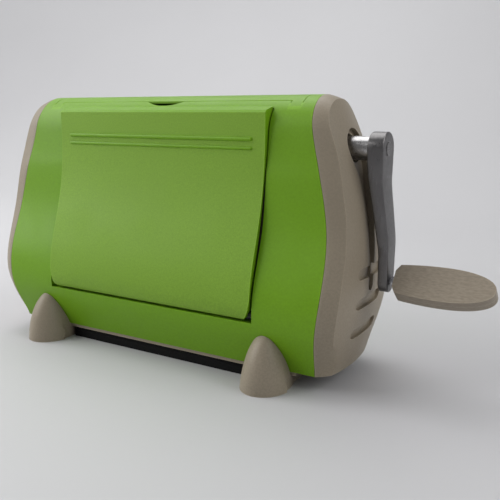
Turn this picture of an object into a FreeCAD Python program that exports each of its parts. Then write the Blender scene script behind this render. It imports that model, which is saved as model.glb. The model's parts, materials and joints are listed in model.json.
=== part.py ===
import FreeCAD, Part
import math
import os

import Sketcher
from FreeCAD import Placement, Rotation, Vector

# A hand cranked die cutting and embossing machine, in millimetres.
# +X points to the crank's side, -Y to the front door, +Z up.
# The origin is on the table, midway between the end caps and between the doors.

SIZES = {
    # Casing section, front to back: half depths at named heights, the same front and back.
    # The heights are shares of the way from the base to the crown, which stands over the crank.
    "base_height": 10.5,
    "base_half_depth": 37.6,
    "belly_share": 0.1816,
    "belly_half_depth": 48.4,
    "hip_share": 0.3602,
    "hip_half_depth": 43.6,
    "waist_share": 0.5389,
    "waist_half_depth": 33.9,
    "chest_share": 0.7176,
    "chest_half_depth": 30.2,
    "shoulder_half_depth": 26.5,
    "shoulder_slope": 0.1,
    "crown_flat": 1.1,
    "crown_rise": 33.0,
    "casing_wall": 2.5,
    "foot_flare": 0.35,
    "parting_gap": 0.3,
    # Seam between the casing and each end cap, counted out from the end of the gear bridge
    "seam_over_base": 9.2,
    "seam_over_hip": 15.5,
    "seam_over_chest": 6.2,
    "seam_over_shoulder": -0.7,
    "seam_over_crown": -3.6,
    # End caps: the domed end face, counted out likewise, and the slanting band round it
    "face_over_base": 20.7,
    "face_over_belly": 27.7,
    "face_over_hip": 30.2,
    "face_over_waist": 28.6,
    "face_over_chest": 22.7,
    "face_over_shoulder": 14.7,
    "face_over_crown": 2.4,
    "face_sag": 5.5,
    "bevel_land": 0.5,
    "band_drop_base": 8.0,
    "band_reach_base": 8.0,
    "band_drop_belly": 5.5,
    "band_reach_belly": 9.6,
    "band_drop_hip": 5.0,
    "band_reach_hip": 10.2,
    "band_drop_waist": 4.0,
    "band_reach_waist": 11.2,
    "band_drop_chest": 3.5,
    "band_reach_chest": 12.0,
    "band_drop_shoulder": 3.0,
    "band_reach_shoulder": 12.2,
    "band_drop_crown": 2.5,
    "band_reach_crown": 8.0,
    "band_bulge": 0.25,
    "band_points": 11,
    "bevel_room": 4.8,
    "cap_face_wall": 6.0,
    "cap_hub_radius": 9.0,
    "hub_dish_radius": 12.5,
    "groove_half_width": 3.7,
    "groove_depth": 3.6,
    "groove_top_drop": 16.0,
    "groove_foot_rise": 50.5,
    "gill_height": 7.5,
    "gill_half_length": 14.0,
    "gill_depth": 2.2,
    "gill_first_rise": 25.0,
    "gill_pitch": 19.5,
    "gill_count": 3,
    # Doors: outer face, hinge barrel, and the flat inside that becomes the feed table.
    # The heights are shares of the way from the hinge to the door's top, and the outer face
    # stands out over the casing's section by these amounts.
    "door_half_width": 88.0,
    "door_side_gap": 1.0,
    "door_top_gap": 0.3,
    "door_belly_share": 0.0775,
    "door_belly_over": 1.4,
    "door_hip_share": 0.2401,
    "door_hip_over": 2.1,
    "door_waist_share": 0.3989,
    "door_waist_over": 5.3,
    "door_chest_share": 0.5964,
    "door_chest_over": 2.7,
    "door_shoulder_share": 0.7978,
    "door_shoulder_over": 3.7,
    "door_brow_drop": 3.7,
    "door_brow_over": 3.3,
    "door_top_drop": 7.4,
    "door_top_inset": 6.56,
    "door_skin": 2.0,
    "hinge_inset": 2.8,
    "hinge_radius": 4.4,
    "hinge_pin_radius": 2.0,
    "hinge_pin_length": 14.0,
    "hinge_pin_reach": 3.4,
    "ledge_gap": 1.2,
    "table_rise": 1.5,
    "tray_thickness": 1.4,
    "tray_rib_height": 0.6,
    "tray_rib_width": 3.0,
    "tray_rib_count": 7,
    "tray_rib_margin": 19.0,
    "tray_clearance": 0.2,
    "trim_rib_margin": 9.1,
    "trim_rib_top_drop": 20.3,
    "trim_rib_drop": 5.7,
    "trim_rib_radius": 1.3,
    # Throat behind each door, and the beds that carry the plates to the rollers
    "throat_gap": 1.5,
    "throat_thickness": 2.0,
    "slot_margin": 8.5,
    "slot_headroom": 1.5,
    "lip_thickness": 2.0,
    "lip_clearance": 4.0,
    "bed_drop": 0.2,
    "bed_thickness": 2.0,
    "bed_flange": 9.0,
    "bed_clearance": 1.6,
    "cheek_thickness": 2.4,
    # Base, rubber foot pad and foot rails
    "pan_thickness": 2.5,
    "pan_inset": 0.8,
    "pan_end_inset": 1.8,
    "pan_step": 2.0,
    "flange_width": 5.0,
    "pad_inset": 8.0,
    "pad_depth_inset": 1.6,
    "pad_step_height": 5.0,
    "pad_step": 0.9,
    "foot_outset": 9.0,
    "foot_nose_outset": 3.4,
    "foot_half_width": 15.3,
    "foot_half_length": 21.5,
    "foot_height": 36.5,
    "rail_half_width": 13.0,
    "fit_gap": 0.25,
    # Side frames and what ties them together
    "frame_inset": 2.0,
    "frame_thickness": 5.0,
    "frame_foot_inset": 6.6,
    "frame_hip_over": 1.0,
    "frame_hip_rise": 51.5,
    "frame_top_inset": 9.5,
    "frame_top_drop": 17.5,
    "frame_flange": 12.0,
    "frame_flange_thickness": 3.5,
    "tie_radius": 5.0,
    "tie_low_inset": 7.0,
    "tie_low_rise": 14.5,
    "tie_high_place": 13.0,
    "tie_high_drop": 23.5,
    "screw_radius": 2.0,
    "screw_depth": 10.0,
    "frame_screw_depth": 7.0,
    "frame_screw_inset": 9.0,
    "screw_head_radius": 4.0,
    "screw_head_height": 2.4,
    # Rollers: the nip is where the plates pass
    "nip_rise": 38.5,
    "nip_gap": 16.0,
    "roller_side_gap": 1.8,
    "shaft_radius": 7.0,
    "spindle_radius": 5.0,
    "shaft_tail": 5.0,
    "bush_wall": 2.5,
    "bush_flange_width": 2.0,
    "bush_flange_thickness": 1.5,
    "running_clearance": 0.05,
    "fixed_clearance": 0.02,
    "clip_groove_depth": 0.8,
    "clip_thickness": 1.2,
    "clip_width": 2.6,
    # Gear train
    "gear_module": 2.0,
    "timing_teeth": 20,
    "drive_teeth": 26,
    "idler_pinion_teeth": 12,
    "idler_wheel_teeth": 24,
    "idler_hub_radius": 7.5,
    "crank_pinion_teeth": 12,
    "addendum_share": 0.8,
    "dedendum_share": 1.0,
    "pressure_angle": 20.0,
    "tooth_backlash": 0.16,
    "gear_start": 2.2,
    "timing_width": 7.5,
    "drive_width": 6.5,
    "wheel_width": 5.5,
    "gear_side_gap": 1.0,
    "bridge_thickness": 3.5,
    "bridge_side_gap": 1.4,
    "bridge_half_width": 13.0,
    "bridge_edge": 4.2,
    "bridge_corner": 2.5,
    "post_radius": 3.2,
    "post_low_inset": 6.5,
    "post_low_rise": 17.0,
    "post_top_inset": 4.2,
    "post_top_drop": 21.4,
    # Crank and grip
    "crank_journal_radius": 6.0,
    "hub_radius": 7.5,
    "hub_gap": 1.5,
    "spigot_radius": 4.5,
    "arm_gap": 27.7,
    "arm_boss_thickness": 10.2,
    "arm_boss_radius": 10.4,
    "arm_offset": 9.2,
    "arm_blade_thickness": 7.6,
    "arm_throw": 82.5,
    "arm_bend_top": 12.0,
    "arm_bend_foot": 63.0,
    "arm_outer_bend_top": 21.0,
    "arm_outer_bend_foot": 56.5,
    "arm_bend_radius": 50.0,
    "arm_foot_radius": 7.0,
    "arm_edge_round": 1.0,
    "crank_cap_radius": 4.6,
    "crank_cap_height": 1.0,
    "grip_gap": 2.1,
    "grip_length": 63.5,
    "grip_root_half_width": 8.5,
    "grip_corner": 4.5,
    "grip_root_slope": 0.3,
    "grip_middle": 22.0,
    "grip_middle_half_width": 17.3,
    "grip_half_width": 20.0,
    "grip_belly": 40.0,
    "grip_thickness": 7.0,
    "grip_tilt": 22.0,
    "grip_edge_round": 0.9,
    "grip_pin_radius": 2.0,
    "grip_pin_depth": 34.0,
    "grip_neck_radius": 3.4,
    # Pull-up carrying handle in the crown
    "handle_half_depth": 10.0,
    "handle_outset": 8.0,
    "handle_end_length": 8.0,
    "handle_end_half_depth": 15.0,
    "handle_height": 12.0,
    "handle_wall": 3.0,
    "handle_gap": 0.4,
    "handle_lift": 25.0,
    "leg_radius": 3.5,
    "leg_inset": 14.0,
    "leg_collar_radius": 5.5,
    "leg_collar_height": 3.0,
    "yoke_thickness": 3.0,
    "yoke_half_depth": 9.0,
    "well_floor_drop": 15.5,
    "well_wall": 1.6,
    "notch_half_length": 16.0,
    "notch_depth": 5.5,
}

ALONG_X = Rotation(Vector(0, 1, 0), 90)
ALONG_Z = Rotation()
HALF_TURN = Rotation(Vector(0, 0, 1), 180)
STATIONS = ("base", "belly", "hip", "waist", "chest", "shoulder", "crown")

# Places that follow from the driving sizes, each written over the sheet and over earlier ones
FORMULAS = {
    "frame_inner": "Sizes.door_half_width - Sizes.frame_inset",
    "frame_outer": "{frame_inner} + Sizes.frame_thickness",
    "timing_start": "{frame_outer} + Sizes.gear_start",
    "drive_start": "{timing_start} + Sizes.timing_width + Sizes.gear_side_gap",
    "wheel_start": "{drive_start} + Sizes.drive_width + Sizes.gear_side_gap",
    "bridge_start": "{wheel_start} + Sizes.wheel_width + Sizes.bridge_side_gap",
    "bridge_end": "{bridge_start} + Sizes.bridge_thickness",
    "seam_base": "{bridge_end} + Sizes.seam_over_base",
    "seam_hip": "{bridge_end} + Sizes.seam_over_hip",
    "seam_chest": "{bridge_end} + Sizes.seam_over_chest",
    "seam_shoulder": "{bridge_end} + Sizes.seam_over_shoulder",
    "seam_crown": "{bridge_end} + Sizes.seam_over_crown",
    "arm_start": "{bridge_end} + Sizes.arm_gap",
    "grip_start": "{arm_start} + Sizes.arm_offset + Sizes.arm_blade_thickness + Sizes.grip_gap",
    "pad_half_length": "Sizes.door_half_width - Sizes.pad_inset",
    "slot_half_width": "Sizes.door_half_width - Sizes.slot_margin",
    "trim_rib_half_length": "Sizes.door_half_width - Sizes.trim_rib_margin",
    "tray_rib_pitch": "2 * (Sizes.door_half_width - Sizes.tray_rib_margin) / (Sizes.tray_rib_count - 1)",
    "foot_place": "Sizes.door_half_width + Sizes.foot_outset",
    "handle_half_length": "Sizes.door_half_width + Sizes.handle_outset",
    "leg_place": "Sizes.door_half_width - Sizes.leg_inset",
    "roller_radius": "(Sizes.gear_module * Sizes.timing_teeth - Sizes.nip_gap) / 2",
    "nip_height": "Sizes.base_height + Sizes.nip_rise",
    "hinge_height": "{nip_height} - Sizes.table_rise",
    "ledge_height": "{hinge_height} - Sizes.hinge_radius - Sizes.ledge_gap",
    "lower_axis": "{nip_height} - {roller_radius}",
    "upper_axis": "{nip_height} + Sizes.nip_gap + {roller_radius}",
    "drive_spacing": "Sizes.gear_module * (Sizes.drive_teeth + Sizes.idler_pinion_teeth) / 2",
    "wheel_spacing": "Sizes.gear_module * (Sizes.idler_wheel_teeth + Sizes.crank_pinion_teeth) / 2",
    "idler_axis": "{upper_axis} + {drive_spacing}",
    "crank_axis": "{idler_axis} + {wheel_spacing}",
    "crown_height": "{crank_axis} + Sizes.crown_rise",
    "body_rise": "{crown_height} - Sizes.base_height",
    "belly_height": "Sizes.base_height + {body_rise} * Sizes.belly_share",
    "hip_height": "Sizes.base_height + {body_rise} * Sizes.hip_share",
    "waist_height": "Sizes.base_height + {body_rise} * Sizes.waist_share",
    "chest_height": "Sizes.base_height + {body_rise} * Sizes.chest_share",
    "door_top_height": "{crown_height} - Sizes.door_top_drop",
    "door_brow_height": "{door_top_height} - Sizes.door_brow_drop",
    "door_rise": "{door_top_height} - {hinge_height}",
    "door_belly_height": "{hinge_height} + {door_rise} * Sizes.door_belly_share",
    "door_hip_height": "{hinge_height} + {door_rise} * Sizes.door_hip_share",
    "door_waist_height": "{hinge_height} + {door_rise} * Sizes.door_waist_share",
    "door_chest_height": "{hinge_height} + {door_rise} * Sizes.door_chest_share",
    "door_shoulder_height": "{hinge_height} + {door_rise} * Sizes.door_shoulder_share",
    "hinge_half_depth": "Sizes.belly_half_depth - Sizes.hinge_inset",
    "door_belly_half_depth": "Sizes.belly_half_depth + Sizes.door_belly_over",
    "door_hip_half_depth": "Sizes.hip_half_depth + Sizes.door_hip_over",
    "door_waist_half_depth": "Sizes.waist_half_depth + Sizes.door_waist_over",
    "door_chest_half_depth": "Sizes.chest_half_depth + Sizes.door_chest_over",
    "door_shoulder_half_depth": "Sizes.shoulder_half_depth + Sizes.door_shoulder_over",
    "door_brow_half_depth": "Sizes.shoulder_half_depth + Sizes.door_brow_over",
    "door_top_half_depth": "Sizes.shoulder_half_depth - Sizes.door_top_inset",
    "trim_rib_height": "{door_top_height} - Sizes.trim_rib_top_drop",
    "groove_top": "{crank_axis} - Sizes.groove_top_drop",
    "groove_foot": "Sizes.base_height + Sizes.groove_foot_rise",
    "gill_first": "Sizes.base_height + Sizes.gill_first_rise",
    "frame_top": "{crown_height} - Sizes.frame_top_drop",
    "frame_hip_height": "Sizes.base_height + Sizes.frame_hip_rise",
    "frame_foot_half_depth": "Sizes.base_half_depth - Sizes.frame_foot_inset",
    "frame_hip_half_depth": "{frame_foot_half_depth} + Sizes.frame_hip_over",
    "frame_top_half_depth": "Sizes.shoulder_half_depth - Sizes.frame_top_inset",
    "frame_screw_place": "{frame_foot_half_depth} - Sizes.frame_screw_inset",
    "tie_low_place": "{frame_foot_half_depth} - Sizes.tie_low_inset",
    "tie_low_height": "Sizes.base_height + Sizes.tie_low_rise",
    "tie_high_height": "{crank_axis} - Sizes.tie_high_drop",
    "post_low_place": "{frame_hip_half_depth} - Sizes.post_low_inset",
    "post_low_height": "{lower_axis} + Sizes.post_low_rise",
    "post_top_place": "{frame_top_half_depth} - Sizes.post_top_inset",
    "post_top_height": "{crown_height} - Sizes.post_top_drop",
    "pad_half_depth": "Sizes.base_half_depth - Sizes.pad_depth_inset",
    "foot_nose_place": "Sizes.base_half_depth + Sizes.foot_nose_outset",
    "well_floor": "{crown_height} - Sizes.well_floor_drop",
    "pan_underside": "Sizes.base_height - Sizes.pan_thickness",
    "pan_top": "Sizes.base_height + Sizes.pan_step",
    "flange_top": "{pan_top} + Sizes.frame_flange_thickness",
    "yoke_underside": "{frame_top} - Sizes.yoke_thickness",
}
PLACES = {}
for place_name, formula in FORMULAS.items():
    PLACES[place_name] = f"({formula.format(**PLACES)})"

doc = FreeCAD.newDocument("DieCutter")
sheet = doc.addObject("Spreadsheet::Sheet", "Sizes")
for row, (alias, value) in enumerate(SIZES.items(), start=1):
    sheet.set(f"A{row}", alias)
    sheet.set(f"B{row}", str(value))
    sheet.setAlias(f"B{row}", alias)
doc.recompute()


class SheetReader:
    """Reads a driving size from the sheet, or a place that follows from them, as a number."""

    def __init__(self):
        self.known = {}

    def __getattr__(self, name):
        if name not in self.known:
            text = PLACES.get(name, f"Sizes.{name}")
            self.known[name] = float(sheet.evalExpression(text))
        return self.known[name]


class PlaceText:
    """Gives the expression of a place that follows from the driving sizes."""

    def __getattr__(self, name):
        return PLACES[name]


d = SheetReader()
at = PlaceText()
NODES = []

# Room to spare for cutting shapes, well outside the body
WIDE = 2 * d.seam_hip
TALL = d.crown_height + d.door_half_width

# How far the door leans in when it is shut, from its hinge to its top
lean = math.atan((d.hinge_half_depth - d.table_rise - d.door_top_half_depth) / d.door_rise)


# Small makers of bound objects

def node(label, obj):
    """Names a finished sub-part and keeps it for export."""
    obj.Label = label
    NODES.append(obj)
    return obj


def place(obj, turn, spot):
    """Turns an object and binds where it stands to the sheet."""
    obj.Placement = Placement(Vector(), turn)
    for axis, text in zip("xyz", spot):
        obj.setExpression(f"Placement.Base.{axis}", text)
    return obj


def rod(name, radius, length, spot, turn=ALONG_X):
    """A round bar from the middle of its first end face."""
    bar = doc.addObject("Part::Cylinder", name)
    bar.setExpression("Radius", radius)
    bar.setExpression("Height", length)
    return place(bar, turn, spot)


def block(name, size, spot):
    """A square bar from its lowest corner."""
    bar = doc.addObject("Part::Box", name)
    for side, text in zip(("Length", "Width", "Height"), size):
        bar.setExpression(side, text)
    return place(bar, ALONG_Z, spot)


def fused(name, pieces):
    """One object made of several that overlap or meet."""
    whole = doc.addObject("Part::MultiFuse", name)
    whole.Shapes = pieces
    return whole


def cut(name, base, tool):
    """An object with another taken away from it."""
    rest = doc.addObject("Part::Cut", name)
    rest.Base = base
    rest.Tool = tool
    return rest


def group(name, pieces):
    """Several separate solids in one object."""
    several = doc.addObject("Part::Compound", name)
    several.Links = pieces
    return several


def solid(name, shape, turn=ALONG_Z):
    """An object whose shape is worked out from the sheet's sizes."""
    piece = doc.addObject("Part::Feature", name)
    piece.Shape = shape
    piece.Placement = Placement(Vector(), turn).multiply(shape.Placement)
    return piece


def origin_plane(body, role):
    """One of a body's own origin planes."""
    return next(f for f in body.Origin.OriginFeatures if f.Role == role)


def sketch_in(body, role, name, offset=None):
    """An empty sketch on one of the body's planes, set off along its normal."""
    sketch = body.newObject("Sketcher::SketchObject", name)
    sketch.AttachmentSupport = (origin_plane(body, role), [""])
    sketch.MapMode = "FlatFace"
    if offset:
        sketch.setExpression("AttachmentOffset.Base.z", offset)
    return sketch


def dimension(sketch, kind, links, nominal, text):
    """A sketch dimension bound to the sheet; a negative place is measured the other way."""
    if nominal < 0:
        links = links[2:] + links[:2] if len(links) == 4 else links
        text = f"-({text})"
    number = sketch.addConstraint(Sketcher.Constraint(kind, *links, abs(nominal)))
    sketch.setExpression(f"Constraints[{number}]", text)


def worked_out(text):
    """The present value of an expression over the sheet."""
    return float(sheet.evalExpression(text))


def polygon(sketch, corners):
    """A closed outline whose corners are all bound to the sheet."""
    spots = [Vector(worked_out(x), worked_out(y), 0) for x, y in corners]
    first = sketch.GeometryCount
    for start, end in zip(spots, spots[1:] + spots[:1]):
        sketch.addGeometry(Part.LineSegment(start, end), False)
    count = len(spots)
    for index in range(count):
        following = first + (index + 1) % count
        sketch.addConstraint(Sketcher.Constraint("Coincident", first + index, 2, following, 1))
    for index, ((x, y), spot) in enumerate(zip(corners, spots)):
        dimension(sketch, "DistanceX", (-1, 1, first + index, 1), spot.x, x)
        dimension(sketch, "DistanceY", (-1, 1, first + index, 1), spot.y, y)


def round_hole(sketch, x, y, radius):
    """A circle bound to the sheet by its centre and radius."""
    spot = Vector(worked_out(x), worked_out(y), 0)
    number = sketch.GeometryCount
    sketch.addGeometry(Part.Circle(spot, Vector(0, 0, 1), worked_out(radius)), False)
    sketch.addConstraint(Sketcher.Constraint("Radius", number, worked_out(radius)))
    sketch.setExpression(f"Constraints[{sketch.ConstraintCount - 1}]", radius)
    dimension(sketch, "DistanceX", (-1, 1, number, 3), spot.x, x)
    dimension(sketch, "DistanceY", (-1, 1, number, 3), spot.y, y)


def pad(body, sketch, length, middle=False):
    """A pad of the sketch; middle grows it to both sides."""
    feature = body.newObject("PartDesign::Pad", f"{body.Name}Pad")
    feature.Profile = sketch
    feature.Midplane = middle
    feature.setExpression("Length", length)
    return feature


def pocket(body, sketch, length, back=False):
    """A pocket cut from the sketch; back turns it round."""
    feature = body.newObject("PartDesign::Pocket", f"{body.Name}Pocket")
    feature.Profile = sketch
    feature.Reversed = back
    feature.setExpression("Length", length)
    return feature


# The casing's form

def crown_corner():
    """Centre, radius and start angle of the crown's round corner, which runs on from the flank."""
    start = math.atan(d.shoulder_slope)
    radius = (d.shoulder_half_depth - d.crown_flat) / math.cos(start)
    return Vector(0, d.crown_flat, d.crown_height - radius), radius, start


CORNER, CORNER_RADIUS, CORNER_START = crown_corner()


def on_corner(angle, side, inset=0.0):
    """A point on the crown's round corner, by its angle above the level."""
    out = Vector(0, side * math.cos(angle), math.sin(angle))
    return Vector(0, side * CORNER.y, CORNER.z) + out * (CORNER_RADIUS - inset)


def flank(inset, side):
    """One side of the casing's section as a smooth curve from its foot to its shoulder."""
    points = [Vector(0, side * (d.base_half_depth - inset), d.base_height + inset)]
    for station in ("belly", "hip", "waist", "chest"):
        depth = getattr(d, f"{station}_half_depth") - inset
        points.append(Vector(0, side * depth, getattr(d, f"{station}_height")))
    points.append(on_corner(CORNER_START, side, inset))
    curve = Part.BSplineCurve()
    curve.interpolate(Points=points, InitialTangent=Vector(0, side * d.foot_flare, 1),
                      FinalTangent=Vector(0, -side * d.shoulder_slope, 1))
    return curve


def casing_section(inset=0.0):
    """The edges of the casing's front-to-back section, drawn in by an inset."""
    right, left = flank(inset, 1), flank(inset, -1)
    floor = Part.LineSegment(left.StartPoint, right.StartPoint)
    middle = (CORNER_START + math.pi / 2) / 2
    angles = (CORNER_START, middle, math.pi / 2)
    corners = [Part.Arc(*[on_corner(angle, 1, inset) for angle in angles]),
               Part.Arc(*[on_corner(angle, -1, inset) for angle in reversed(angles)])]
    deck = Part.LineSegment(corners[0].EndPoint, corners[1].StartPoint)
    left.reverse()
    return [edge.toShape() for edge in (floor, right, corners[0], deck, corners[1], left)]


def closed_face(edges):
    """A flat face inside a closed run of edges."""
    return Part.Face(Part.Wire(Part.__sortEdges__(edges)))


def casing_form(inset=0.0, start=-WIDE, end=WIDE):
    """The casing's section drawn out along X."""
    face = closed_face(casing_section(inset))
    face.translate(Vector(start, 0, 0))
    return face.extrude(Vector(end - start, 0, 0))


def station_curve(prefix, stations, spread=0.0):
    """A curve of one size over the stations' heights, run on below and above the casing."""
    heights = {"shoulder": on_corner(CORNER_START, 1).z}
    points = []
    for station in stations:
        height = heights.get(station) or getattr(d, f"{station}_height")
        points.append(Vector(getattr(d, f"{prefix}_{station}"), 0, height))
    low, high = points[0], points[-1]
    points.insert(0, low - Vector(spread, 0, low.z))
    points.append(high + Vector(0, 0, TALL - high.z))
    curve = Part.BSplineCurve()
    curve.interpolate(points)
    return curve


def value_at(curve, height):
    """What a station curve says at a height."""
    level = Part.Line(Vector(-WIDE, 0, height), Vector(WIDE, 0, height))
    return curve.intersectCC(level)[0].X


SEAM = station_curve("seam", ("base", "hip", "chest", "shoulder", "crown"), 1.0)
BAND_DROP = station_curve("band_drop", STATIONS)
BAND_REACH = station_curve("band_reach", STATIONS)


def beyond_seam(gap):
    """Everything further out than the right-hand seam, moved out by a gap."""
    start, end = SEAM.StartPoint, SEAM.EndPoint
    far = [Vector(2 * WIDE, 0, end.z), Vector(2 * WIDE, 0, start.z)]
    lines = [Part.LineSegment(a, b) for a, b in ((end, far[0]), (far[0], far[1]), (far[1], start))]
    face = closed_face([SEAM.toShape()] + [line.toShape() for line in lines])
    face.translate(Vector(gap, -WIDE / 2, 0))
    return face.extrude(Vector(0, WIDE, 0))


def mirrored(shape, normal):
    """The shape's mirror image in an upright plane through the origin."""
    return shape.mirror(Vector(), normal)


def box(low, high):
    """A square block between two corners."""
    return Part.makeBox(*(b - a for a, b in zip(low, high)), Vector(*low))


def bar(radius, start, end, along=Vector(1, 0, 0)):
    """A round bar from a point, as far along a direction as the end says."""
    return Part.makeCylinder(radius, end, Vector(*start), along)


# End caps

def end_face(inset):
    """The domed end of the casing, filled in towards the middle."""
    shoulder = on_corner(CORNER_START, 1).z
    rows = [(0.0, d.face_over_base - d.casing_wall, d.base_half_depth)]
    for station in STATIONS[:-1]:
        height = shoulder if station == "shoulder" else getattr(d, f"{station}_height")
        rows.append((height, getattr(d, f"face_over_{station}"), getattr(d, f"{station}_half_depth")))
    rows.append((d.crown_height + d.casing_wall, d.face_over_crown, d.shoulder_half_depth))
    reach = d.belly_half_depth + d.casing_wall
    grid = []
    for height, out, depth in rows:
        across = [reach * share for share in (-1, -0.5, 0, 0.5, 1)]
        grid.append([Vector(d.bridge_end + out - inset - d.face_sag * (y / depth) ** 2, y, height) for y in across])
    surface = Part.BSplineSurface()
    surface.interpolate(grid)
    return surface.toShape().extrude(Vector(-WIDE, 0, 0))


def section_walk():
    """Points round the casing's section from floor to floor, each with its inward direction."""
    walk = []
    for edge in casing_section()[1:]:
        count = 3 if edge.Length < d.casing_wall else int(d.band_points)
        for spot in edge.discretize(Number=count):
            along = edge.tangentAt(edge.Curve.parameter(spot))
            walk.append((spot, Vector(0, -along.z, along.y)))
    kept = [walk[0]]
    for spot, inward in walk[1:]:
        if (spot - kept[-1][0]).Length > d.casing_wall / 2:
            kept.append((spot, inward))
    below = Vector(0, 0, 2 * d.casing_wall)
    for index, sign in ((0, 1), (-1, -1)):
        spot, inward = kept[index]
        further = (spot - below, inward)
        kept = [further] + kept if sign > 0 else kept + [further]
    return kept


def band_face():
    """The slanting band round the end of the casing, run on past both of its edges."""
    grid = []
    for spot, inward in section_walk():
        drop, reach = value_at(BAND_DROP, spot.z), value_at(BAND_REACH, spot.z)
        start = value_at(SEAM, spot.z) + d.bevel_land
        row = []
        for share in (-0.5, 0.0, 0.5, 1.0, 1.5, 2.0):
            down = drop * share * (1 + d.band_bulge * (share - 1))
            row.append(spot + inward * down + Vector(start + reach * share, 0, 0))
        grid.append(row)
    surface = Part.BSplineSurface()
    surface.interpolate(grid)
    return surface.toShape()


def bevelled_end():
    """The right-hand end of the casing with its domed face and slanting band."""
    whole = casing_form(0, d.seam_crown / 2, WIDE).common(end_face(0))
    pieces, _ = whole.generalFuse([band_face()])
    return max(pieces.Solids, key=lambda piece: piece.Volume)


def flip(point):
    """A point's mirror image across the middle, front to back."""
    return Vector(point.x, -point.y, point.z)


def hub_recess():
    """The hollow under the hub with the narrow groove that runs down from it."""
    centre = Vector(0, 0, d.crank_axis)
    tip = Vector(0, d.groove_half_width, d.groove_top)
    away = tip - centre
    turn = math.acos(d.hub_dish_radius / away.Length)
    towards = math.atan2(away.z, away.y)
    touch = centre + Vector(0, math.cos(towards + turn), math.sin(towards + turn)) * d.hub_dish_radius
    across = Vector(0, -touch.y, touch.z)
    top = centre + Vector(0, 0, d.hub_dish_radius)
    foot = Vector(0, 0, d.groove_foot)
    low = Vector(0, d.groove_half_width, d.groove_foot + d.groove_half_width)
    edges = [
        Part.Arc(touch, top, across),
        Part.LineSegment(across, flip(tip)),
        Part.LineSegment(flip(tip), flip(low)),
        Part.Arc(flip(low), foot, low),
        Part.LineSegment(low, tip),
        Part.LineSegment(tip, touch),
    ]
    face = closed_face([edge.toShape() for edge in edges])
    face.translate(Vector(d.seam_crown, 0, 0))
    return face.extrude(Vector(WIDE - d.seam_crown, 0, 0))


def gill(height):
    """One long finger recess across the end face."""
    radius = d.gill_height / 2
    straight = d.gill_half_length - radius
    ends = [bar(radius, (d.seam_crown, side * straight, height), WIDE - d.seam_crown) for side in (-1, 1)]
    middle = box((d.seam_crown, -straight, height - radius), (WIDE, straight, height + radius))
    return middle.fuse(ends).removeSplitter()


def make_right_end_cap():
    """The right-hand cap: a domed shell with the crank's hole, its groove and the gills."""
    outer = bevelled_end().common(beyond_seam(0))
    groove = hub_recess().cut(end_face(d.groove_depth))
    gills = [gill(d.gill_first + d.gill_pitch * index) for index in range(int(d.gill_count))]
    shallow = [piece.cut(end_face(d.gill_depth)) for piece in gills]
    outer = outer.cut([groove] + shallow)
    outer = outer.cut(bar(d.cap_hub_radius, (d.seam_crown, 0, d.crank_axis), WIDE))
    return outer.cut(cap_cavity())


def cap_cavity():
    """The room inside a cap: a wide step by the seam and a narrow one behind the face."""
    wide = casing_form(d.casing_wall, 0, WIDE).cut(beyond_seam(d.bevel_land))
    narrow = casing_form(d.casing_wall + d.bevel_room, 0, WIDE)
    return wide.fuse(end_face(d.cap_face_wall).common(narrow))


def make_left_end_cap():
    """The left-hand cap: the same shell with gills but no crank."""
    outer = bevelled_end().common(beyond_seam(0))
    gills = [gill(d.gill_first + d.gill_pitch * index) for index in range(int(d.gill_count))]
    shallow = [piece.cut(end_face(d.gill_depth)) for piece in gills]
    outer = outer.cut(shallow)
    return mirrored(outer.cut(cap_cavity()), Vector(1, 0, 0))


# Doors. Things on a door's inside are laid out with the door open flat, then closed.

def inner_depth(height, behind=0.0):
    """Half depth of the closed door's inner face at a height, or of a plane behind it."""
    from_axis = (d.table_rise + behind) / math.cos(lean)
    return d.hinge_half_depth - from_axis - (height - d.hinge_height) * math.tan(lean)


def closed(shape):
    """Turns a thing laid out on the open feed table to where it is with the door shut."""
    shape.rotate(Vector(0, -d.hinge_half_depth, d.hinge_height), Vector(1, 0, 0), -(90 + math.degrees(lean)))
    return shape


def on_table(half_width, start, end, low, high):
    """A slab on the open feed table; start and end count outwards from the hinge."""
    front, back = -d.hinge_half_depth - end, -d.hinge_half_depth - start
    return box((-half_width, front, d.hinge_height + low), (half_width, back, d.hinge_height + high))


def table_length():
    """How far the door's inside reaches from the hinge."""
    return (d.door_top_height - d.hinge_height) / math.cos(lean)


def door_side(skin):
    """The door's section from hinge to top, drawn in by a skin at its outer face."""
    points = [Vector(0, skin - d.hinge_half_depth - d.hinge_radius, d.hinge_height)]
    for station in ("belly", "hip", "waist", "chest", "shoulder", "brow"):
        depth = getattr(d, f"door_{station}_half_depth") - skin
        points.append(Vector(0, -depth, getattr(d, f"door_{station}_height")))
    face = Part.BSplineCurve()
    face.interpolate(Points=points, InitialTangent=Vector(0, 0, 1))
    brow = points[-1]
    crest = brow + Vector(0, d.table_rise, d.table_rise)
    back = Vector(0, -inner_depth(d.door_top_height), d.door_top_height)
    foot = Vector(0, -inner_depth(d.hinge_height), d.hinge_height)
    lines = [Part.LineSegment(a, b) for a, b in ((brow, crest), (crest, back), (back, foot), (foot, points[0]))]
    return closed_face([face.toShape()] + [line.toShape() for line in lines])


def door_form(skin, half_width):
    """The door's section drawn out across its width."""
    face = door_side(skin)
    face.translate(Vector(-half_width, 0, 0))
    return face.extrude(Vector(2 * half_width, 0, 0))


def trim_rib(height, radius):
    """A raised bead across the door's outer face, with round ends."""
    upper, lower = (d.door_shoulder_height, d.door_shoulder_half_depth), (d.door_brow_height, d.door_brow_half_depth)
    share = (height - upper[0]) / (lower[0] - upper[0])
    depth = upper[1] + share * (lower[1] - upper[1])
    reach = d.trim_rib_half_length - radius
    bead = bar(radius, (-reach, -depth, height), 2 * reach)
    ends = [Part.makeSphere(radius, Vector(side * reach, -depth, height)) for side in (-1, 1)]
    return bead.fuse(ends)


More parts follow.
